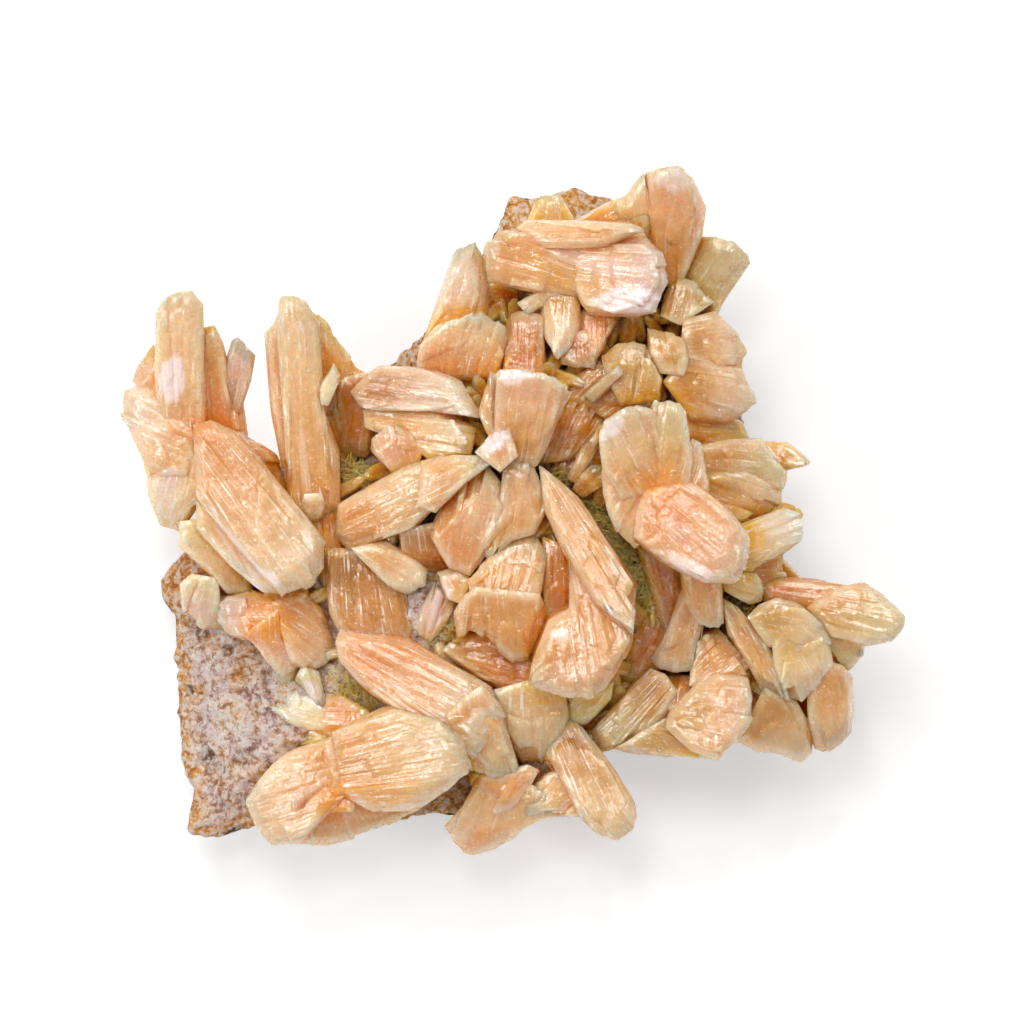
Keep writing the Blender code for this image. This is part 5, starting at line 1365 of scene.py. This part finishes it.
def feed(tree, socket, value):
    """Set a socket to a value, or link it to the socket that gives one."""
    if isinstance(value, bpy.types.NodeSocket):
        tree.links.new(value, socket)
    else:
        socket.default_value = value


def add_node(tree, kind, settings=(), **inputs):
    """Add a shader node; settings are properties, and inputs are values or sockets by name."""
    node = tree.nodes.new(kind)
    for name, value in dict(settings).items():
        setattr(node, name, value)
    for name, value in inputs.items():
        feed(tree, node.inputs[name.replace("_", " ")], value)
    return node


def attribute(tree, name, output="Fac"):
    """One of the attributes that a piece's vertices carry."""
    return add_node(tree, "ShaderNodeAttribute", {"attribute_name": name}).outputs[output]


def object_place(tree):
    """The place on the object, in metres."""
    return add_node(tree, "ShaderNodeTexCoord").outputs["Object"]


def stretch(tree, place, *scales):
    """A place scaled along each axis."""
    return add_node(tree, "ShaderNodeMapping", Vector=place, Scale=scales).outputs[0]


def cloud(tree, place, scale, detail, roughness=0.5, distortion=0.0):
    """Noise from 0 to 1."""
    node = add_node(tree, "ShaderNodeTexNoise", Vector=place, Scale=scale, Detail=detail,
                    Roughness=roughness, Distortion=distortion)
    return node.outputs["Fac"]


def mix_colours(tree, mode, share, first, second):
    """Mix two colours."""
    node = add_node(tree, "ShaderNodeMix", {"data_type": "RGBA", "blend_type": mode})
    for index, value in zip(MIX_SOCKETS, (share, first, second)):
        feed(tree, node.inputs[index], value)
    return node.outputs[MIX_RESULT]


def remap(tree, value, low, high, new_low, new_high):
    """Map a range of a value to another range."""
    node = add_node(tree, "ShaderNodeMapRange", Value=value, From_Min=low, From_Max=high,
                    To_Min=new_low, To_Max=new_high)
    return node.outputs["Result"]


def maths(tree, operation, *values):
    """Combine values."""
    node = add_node(tree, "ShaderNodeMath", {"operation": operation})
    for socket, value in zip(node.inputs, values):
        feed(tree, socket, value)
    return node.outputs[0]


def ramp(tree, value, *stops):
    """Colours along a value; each stop is a position and the name of a colour."""
    node = add_node(tree, "ShaderNodeValToRGB", Fac=value)
    elements = node.color_ramp.elements
    for element, (position, name) in zip(elements, (stops[0], stops[-1])):
        element.position = position
        element.color = opaque(name)
    for position, name in stops[1:-1]:
        elements.new(position).color = opaque(name)
    return node.outputs["Color"]


def bump(tree, height, distance, strength, under_it=None):
    """Fine relief as a normal, over the relief under it."""
    node = add_node(tree, "ShaderNodeBump", Height=height, Distance=distance, Strength=strength)
    if under_it:
        feed(tree, node.inputs["Normal"], under_it)
    return node.outputs[0]


def stilbite_material(name, spread, roughness):
    """Translucent stilbite: painted tint, veils, and painted highlights: glinting threads, dots and
    pearly sheen.
    """
    material, tree, shader = new_material(name)
    grain = attribute(tree, "grain", "Vector")
    painted_sheen = attribute(tree, "painted_sheen")
    silk = attribute(tree, "silk")
    place = object_place(tree)

    # The grain is in millimetres along and across the laths, and the place in metres
    along_laths = stretch(tree, grain, 2.1, 0.075, 1.0)
    across_laths = stretch(tree, grain, 0.22, 1.5, 0.4)
    striae = cloud(tree, along_laths, 1.0, 1.4)
    threads = cloud(tree, along_laths, 2.6, 4.0, 0.6)
    silver = cloud(tree, along_laths, 1.3, 2.0)
    cracks = cloud(tree, across_laths, 1.0, 4.0, 0.7)
    mottle = cloud(tree, place, 520.0, 4.0, 0.6)
    waves = cloud(tree, place, 1400.0, 2.0)
    glint_specks = cloud(tree, place, 2400.0, 1.0)
    veils = cloud(tree, place, 210.0, 3.0, distortion=0.6)

    # Tint, mottled and veiled
    light = remap(tree, mottle, 0.3, 0.7, 0.94, 1.05)
    streak = remap(tree, threads, 0.3, 0.7, 0.985, 1.02)
    colour = mix_colours(tree, "MULTIPLY", 1.0, attribute(tree, "tint", "Color"), light)
    colour = mix_colours(tree, "MULTIPLY", 1.0, colour, streak)
    haze = remap(tree, veils, 0.52, 0.72, 0.0, 0.22)
    colour = mix_colours(tree, "MIX", haze, colour, opaque("pale"))
    glow = remap(tree, veils, 0.48, 0.30, 0.0, 0.22)
    warmer = mix_colours(tree, "MULTIPLY", 1.0, colour, (1.0, 0.86, 0.62, 1))
    colour = mix_colours(tree, "MIX", glow, colour, warmer)
    split = remap(tree, cracks, 0.62, 0.72, 0.0, 0.15)
    colour = mix_colours(tree, "MIX", split, colour, opaque("pale"))

    # Painted highlights: glinting threads along the laths, glinting dots and the painted pearly sheen of
    # facets; little light spreads under them
    painted_glint_lines = remap(tree, silver, 0.59, 0.65, 0.0, 1.3)
    painted_glint_lines = maths(tree, "MULTIPLY", painted_glint_lines, remap(tree, veils, 0.44, 0.60, 0.1, 1.0))
    painted_glint_lines = maths(tree, "MULTIPLY", painted_glint_lines, silk)
    painted_glints = maths(tree, "MAXIMUM", painted_glint_lines, remap(tree, glint_specks, 0.68, 0.74, 0.0, 0.9))
    colour = mix_colours(tree, "MIX", painted_glints, colour, opaque("painted glint"))
    held = maths(tree, "MAXIMUM", painted_glints, maths(tree, "MULTIPLY", painted_sheen, 0.8))
    feed(tree, shader.inputs["Base Color"], colour)
    feed(tree, shader.inputs["Subsurface Weight"], maths(tree, "MULTIPLY_ADD", held, -0.9, 0.9))

    # Gloss over striations and small waves, which the coat shows more strongly
    feed(tree, shader.inputs["Roughness"],
         remap(tree, mottle, 0.3, 0.7, roughness - 0.04, roughness + 0.12))
    for socket, ridge in (("Normal", 0.00019), ("Coat Normal", 0.00036)):
        ridges = bump(tree, striae, ridge, silk)
        feed(tree, shader.inputs[socket], bump(tree, waves, 0.00015, 0.7, ridges))
    feed(tree, shader.inputs["Transmission Weight"], attribute(tree, "clear"))
    feed(tree, shader.inputs["Coat Weight"], maths(tree, "MULTIPLY_ADD", painted_sheen, 0.5, 0.9))
    set_numbers(shader, {"Coat Roughness": 0.15, "IOR": 1.5, "Specular IOR Level": 0.8,
                         "Subsurface Radius": (1.0, 0.65, 0.38), "Subsurface Scale": spread * MM})
    return material


def druse_material():
    """Sugary druse: white grains with painted highlight on the crests, painted shade in the hollows, over
    the painted stains.
    """
    material, tree, shader = new_material("mordenite_druse")
    place = object_place(tree)
    crumbs = cloud(tree, place, 850.0, 6.0, 0.68, 0.3)
    grit = cloud(tree, place, 3000.0, 3.0, 0.6)
    stains = cloud(tree, place, 300.0, 5.0, 0.65, 0.5)
    light = remap(tree, grit, 0.3, 0.7, 1.06, 1.40)
    colour = mix_colours(tree, "MULTIPLY", 1.0, attribute(tree, "tint", "Color"), light)
    stained = remap(tree, stains, 0.52, 0.62, 0.0, 0.75)
    colour = mix_colours(tree, "MIX", stained, colour, opaque("druse stain"))
    # Painted shade darkens the hollows of the crumbs; the crests turn white, the druse's own white grains
    # with a painted highlight on them
    hollow_shade = remap(tree, crumbs, 0.38, 0.49, 0.9, 0.0)
    colour = mix_colours(tree, "MULTIPLY", hollow_shade, colour, (*PAINTED_HOLLOW_SHADE, 1))
    crest_white_and_highlight = remap(tree, crumbs, 0.49, 0.57, 0.0, 0.9)
    colour = mix_colours(tree, "MIX", crest_white_and_highlight, colour, opaque("white grain and highlight"))
    feed(tree, shader.inputs["Base Color"], colour)
    coarse = bump(tree, crumbs, 0.0018, 1.0)
    feed(tree, shader.inputs["Normal"], bump(tree, grit, 0.0003, 0.9, coarse))
    set_numbers(shader, {"Roughness": 0.36})
    return material


def rock_material():
    """Weathered basalt: dark brown-grey with rust and pale vesicle fillings."""
    material, tree, shader = new_material("basalt")
    place = object_place(tree)
    patches = cloud(tree, place, 120.0, 8.0, 0.65)
    fine = cloud(tree, place, 900.0, 6.0, 0.7)
    pores = add_node(tree, "ShaderNodeTexVoronoi", Vector=place, Scale=260.0).outputs["Distance"]
    colour = ramp(tree, patches, (0.34, "basalt"), (0.5, "worn basalt"), (0.74, "rusty basalt"))
    light = remap(tree, fine, 0.3, 0.7, 0.7, 1.25)
    colour = mix_colours(tree, "MULTIPLY", 1.0, colour, light)
    filling = remap(tree, pores, 0.10, 0.22, 0.5, 0.0)
    colour = mix_colours(tree, "MIX", filling, colour, opaque("vesicle filling"))
    feed(tree, shader.inputs["Base Color"], colour)
    rough = bump(tree, fine, 0.0005, 0.9)
    feed(tree, shader.inputs["Normal"], bump(tree, patches, 0.0016, 0.7, rough))
    set_numbers(shader, {"Roughness": 0.82})
    return material


def needle_material():
    """Matted mordenite fibres: straw yellow and cream, silky."""
    material, tree, shader = new_material("mordenite_fibre")
    mottle = cloud(tree, object_place(tree), 420.0, 4.0)
    feed(tree, shader.inputs["Base Color"],
         ramp(tree, mottle, (0.36, "fibre"), (0.66, "fibre sheen")))
    set_numbers(shader, {"Roughness": 0.45, "Subsurface Weight": 0.3,
                         "Subsurface Scale": 0.4 * MM})
    return material


# Rock, druse and needles


def copy_of_node(node, name, voxel):
    """A closed, evenly meshed copy of a node's solid, in millimetres."""
    shape = bmesh.new()
    shape.from_mesh(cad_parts[node].data)
    bmesh.ops.remove_doubles(shape, verts=shape.verts, dist=MERGE * MM)
    mesh = bpy.data.meshes.new(name)
    shape.to_mesh(mesh)
    shape.free()
    made = bpy.data.objects.new(name, mesh)
    bpy.context.scene.collection.objects.link(made)
    remesh = made.modifiers.new("even", "REMESH")
    remesh.mode = "VOXEL"
    remesh.voxel_size = voxel * MM
    apply_modifiers(made)
    return made


def move_vertices(mesh, places):
    """Put a mesh's vertices at places in millimetres."""
    mesh.vertices.foreach_set("co", (places * MM).astype(np.float32).ravel())
    mesh.update()


def round_spots(places, spots, outer, inner):
    """The strongest of some round spots at each point, faded out between two distances."""
    strongest = np.zeros(len(places))
    for centre, half, strength in spots:
        off = np.hypot(places[:, 0] - centre[0], places[:, 1] - centre[1]) / half
        strongest = np.maximum(strongest, strength * smooth(outer, inner, off))
    return strongest


def distance_inwards(places):
    """How far each point of the druse lies inside its edge, and the way outwards."""
    reach = np.hypot(places[:, 0], places[:, 1])
    angle = np.arctan2(places[:, 1], places[:, 0])
    sector = ((angle + math.pi) / (2 * math.pi) * SECTORS).astype(int) % SECTORS
    edge = np.zeros(SECTORS)
    np.maximum.at(edge, sector, reach)
    return edge[sector] - reach, places[:, :2] / np.maximum(reach, 1)[:, None]


def paint_druse(places, crown, lumps, hollows, rim, pit):
    """Druse colour: mauve to white with painted shade low down, golden at its edge, mossy in the nests,
    painted glow deep under the crystals.
    """
    sunk = depth_below(crown, places) + 3 * lumps
    nest = smooth(0, 12, sunk) * smooth(-46, -36, places[:, 0])
    # Painted shade: the tone follows the height of the relief, so the druse's own mauve lies in the low
    # places and its white on the high ones
    tone = 0.5 + 0.4 * lumps + 0.6 * hollows
    gold = noises(places, (4.5, 4.5, 4.5), 7.7)
    colour = np.tile(PALETTE["pale"], (len(places), 1))
    for name, share in (
        ("mauve", smooth(0.15, 0.35, tone)),
        ("lilac", smooth(0.40, 0.55, tone)),
        ("white", smooth(0.60, 0.75, tone)),
        ("gold", 0.8 * smooth(0.0, 0.4, gold)),
        ("gold", rim),
        ("moss", 0.8 * nest),
        # Painted glow: amber deep under the crystals, as where light bounces between them
        ("flame", 0.7 * smooth(7, 16, sunk)),
        ("earth", pit),
    ):
        colour = blend_colours(colour, PALETTE[name], share)
    return colour


def build_druse(crown, material):
    """The druse: the crust's solid with crumbs, hollows and pits, golden towards its edge."""
    made = copy_of_node("mordenite_crust", "mordenite_druse", CRUST_VOXEL)
    places = vertex_places(made.data)
    normals = vertex_vectors(made.data, "normal")
    crumbs = noises(places, (1.3, 1.3, 1.3), 3.7)
    lumps = noises(places, (2.6, 2.6, 2.6), 8.1)
    hollows = noises(places, (7, 7, 7), 5.5)
    pit = round_spots(places, PITS, 1.2, 0.5)
    relief = 0.6 * crumbs + 0.8 * lumps + 0.9 * hollows - 1.3 * pit
    relief = (relief * smooth(-0.6, 0.1, normals[:, 2]))[:, None] * normals
    inwards, outward = distance_inwards(places)
    bulge = np.zeros((len(places), 3))
    bulge[:, :2] = outward * round_spots(places, BULGES, 1.0, 0.2)[:, None]
    move_vertices(made.data, places + bulge + relief)
    rim = smooth(4.2, 1.2, inwards + 1.6 * lumps)
    add_tint(made.data, paint_druse(places, crown, lumps, hollows, rim, pit))
    finish_piece(made, "mordenite_crust", material, NO_EDGE)
    return made


def build_rock(material):
    """The rock: its solid with a broken, weathered surface over a flat underside."""
    made = copy_of_node("basalt_matrix", "basalt_rock", ROCK_VOXEL)
    places = vertex_places(made.data)
    normals = vertex_vectors(made.data, "normal")
    side = smooth(0.2, 1.5, places[:, 2]) * smooth(-0.75, 0.1, -normals[:, 2])
    relief = 0.8 * noises(places, (3.4, 3.4, 3.4), 2.2) + 1.6 * noises(places, (9, 9, 5), 6.1)
    relief -= 0.7 * np.abs(noises(places, (1.8, 1.8, 1.8), 4.4)) + 0.3
    places = places + normals * (relief * side)[:, None]
    places[:, 2] = np.clip(places[:, 2], 0, None)
    move_vertices(made.data, places)
    finish_piece(made, "basalt_matrix", material, NO_EDGE)


def needle_spots(chance):
    """Where the needles stand, and the height that each one's tuft reaches."""
    spots = []
    for centre, half_length, half_width, turn, height, number in TUFTS:
        cosine = math.cos(math.radians(turn))
        sine = math.sin(math.radians(turn))
        for _ in range(number):
            reach = math.sqrt(chance.random())
            angle = chance.uniform(0, 2 * math.pi)
            first = reach * math.cos(angle) * half_length
            second = reach * math.sin(angle) * half_width
            spots.append((centre[0] + first * cosine - second * sine,
                          centre[1] + first * sine + second * cosine, height))
    return spots


def build_needles(crust, material):
    """Tufts of fine mordenite needles in the gaps between the crystals."""
    chance = random.Random(NEEDLE_DRAWS)
    ground = tree_of(crust)
    whole = bmesh.new()
    spots = needle_spots(chance)
    for start in range(0, len(spots), NEEDLE_BATCH):
        shape = bmesh.new()
        for x, y, height in spots[start:start + NEEDLE_BATCH]:
            made = bmesh.ops.create_cone(
                shape, cap_ends=True, segments=3, radius1=chance.uniform(*NEEDLE_RADII),
                radius2=NEEDLE_TIP, depth=chance.uniform(*NEEDLE_LENGTHS))
            lean = Vector((chance.gauss(0, NEEDLE_LEAN), chance.gauss(0, NEEDLE_LEAN), 1)).normalized()
            turned = Vector((0, 0, 1)).rotation_difference(lean).to_matrix()
            bmesh.ops.rotate(shape, verts=made["verts"], matrix=turned, cent=(0, 0, 0))
            bottom = height_at(ground, x, y) or ROCK_RIM
            bmesh.ops.translate(shape, verts=made["verts"],
                                vec=(x, y, chance.uniform(bottom, max(bottom + 0.5, height))))
        batch = bpy.data.meshes.new("batch")
        shape.to_mesh(batch)
        shape.free()
        whole.from_mesh(batch)
        bpy.data.meshes.remove(batch)
    made = object_from("mordenite_needles", whole)
    made.data.materials.append(material)
    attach(made, "root")


# Stage


def add_light(name, place, size, power, colour=(1, 1, 1)):
    """A round area light that shines on the middle of the specimen; place is in metres."""
    data = bpy.data.lights.new(name, "AREA")
    data.shape = "DISK"
    data.size = size
    data.energy = power
    data.color = colour
    light = bpy.data.objects.new(name, data)
    bpy.context.scene.collection.objects.link(light)
    light.location = place
    aim = Vector((0, 0, AIM_HEIGHT)) - Vector(place)
    light.rotation_euler = aim.to_track_quat("-Z", "Y").to_euler()


def add_floor():
    """Pale floor that glows a little, so that it stays pale in the shade."""
    shape = bmesh.new()
    bmesh.ops.create_grid(shape, x_segments=1, y_segments=1, size=FLOOR_HALF)
    bmesh.ops.translate(shape, verts=shape.verts, vec=(0, 0, -FLOOR_DROP))
    floor = object_from("floor", shape)
    material, _, shader = new_material("floor")
    set_numbers(shader, {"Base Color": (FLOOR_GREY, FLOOR_GREY, FLOOR_GREY, 1), "Roughness": 0.9,
                         "Emission Color": (1, 1, 1, 1), "Emission Strength": FLOOR_GLOW})
    floor.data.materials.append(material)


def add_lights():
    """A pale room, large soft lights and small lamps around the specimen."""
    world = bpy.data.worlds.new("soft_room")
    bpy.context.scene.world = world
    world.use_nodes = True
    set_numbers(world.node_tree.nodes["Background"], {"Color": (1, 1, 1, 1),
                                                      "Strength": ROOM_LIGHT})
    for light in LIGHTS:
        add_light(*light)
    for turn, height, power in LAMPS:
        angle = math.radians(turn)
        place = (LAMP_RING * math.cos(angle), LAMP_RING * math.sin(angle), height)
        add_light(f"lamp_{turn}", place, LAMP_SIZE, power)


def add_camera():
    """The camera straight above, at the photograph's scale."""
    data = bpy.data.cameras.new("camera")
    data.sensor_width = SENSOR
    data.lens = SENSOR * (CAMERA_HEIGHT - VIEW_LEVEL) / VIEW_WIDTH
    data.clip_end = FAR_CLIP
    camera = bpy.data.objects.new("camera", data)
    bpy.context.scene.collection.objects.link(camera)
    camera.location = (0, 0, CAMERA_HEIGHT * MM)
    bpy.context.scene.camera = camera


def set_stage():
    """Floor, light and camera, and how far light is followed."""
    add_floor()
    add_lights()
    add_camera()
    scene = bpy.context.scene
    scene.view_settings.view_transform = "Standard"
    scene.cycles.adaptive_threshold = 0.3
    scene.cycles.max_bounces = 5
    scene.cycles.diffuse_bounces = 3
    scene.cycles.glossy_bounces = 2


def build():
    """Make every piece, then the stage."""
    finishes = {name: stilbite_material(name, *finish) for name, finish in FINISHES.items()}
    sheaves = [build_sheaf(sheaf(), node, finishes[slot], SHEAF_SEED * (number + 1))
               for number, (sheaf, node, slot) in enumerate(SHEAVES)]
    crown = crown_map(sheaves)
    crust = build_druse(crown, druse_material())
    build_rock(rock_material())
    bed = build_bed(sheaves, crown, crust, finishes["stilbite_amber"])
    # Painted shade and glow where the crystals lie below their neighbours
    for sheaf in sheaves + [bed]:
        paint_crevice_glow(sheaf, crown)
    build_needles(crust, needle_material())
    set_stage()


build()
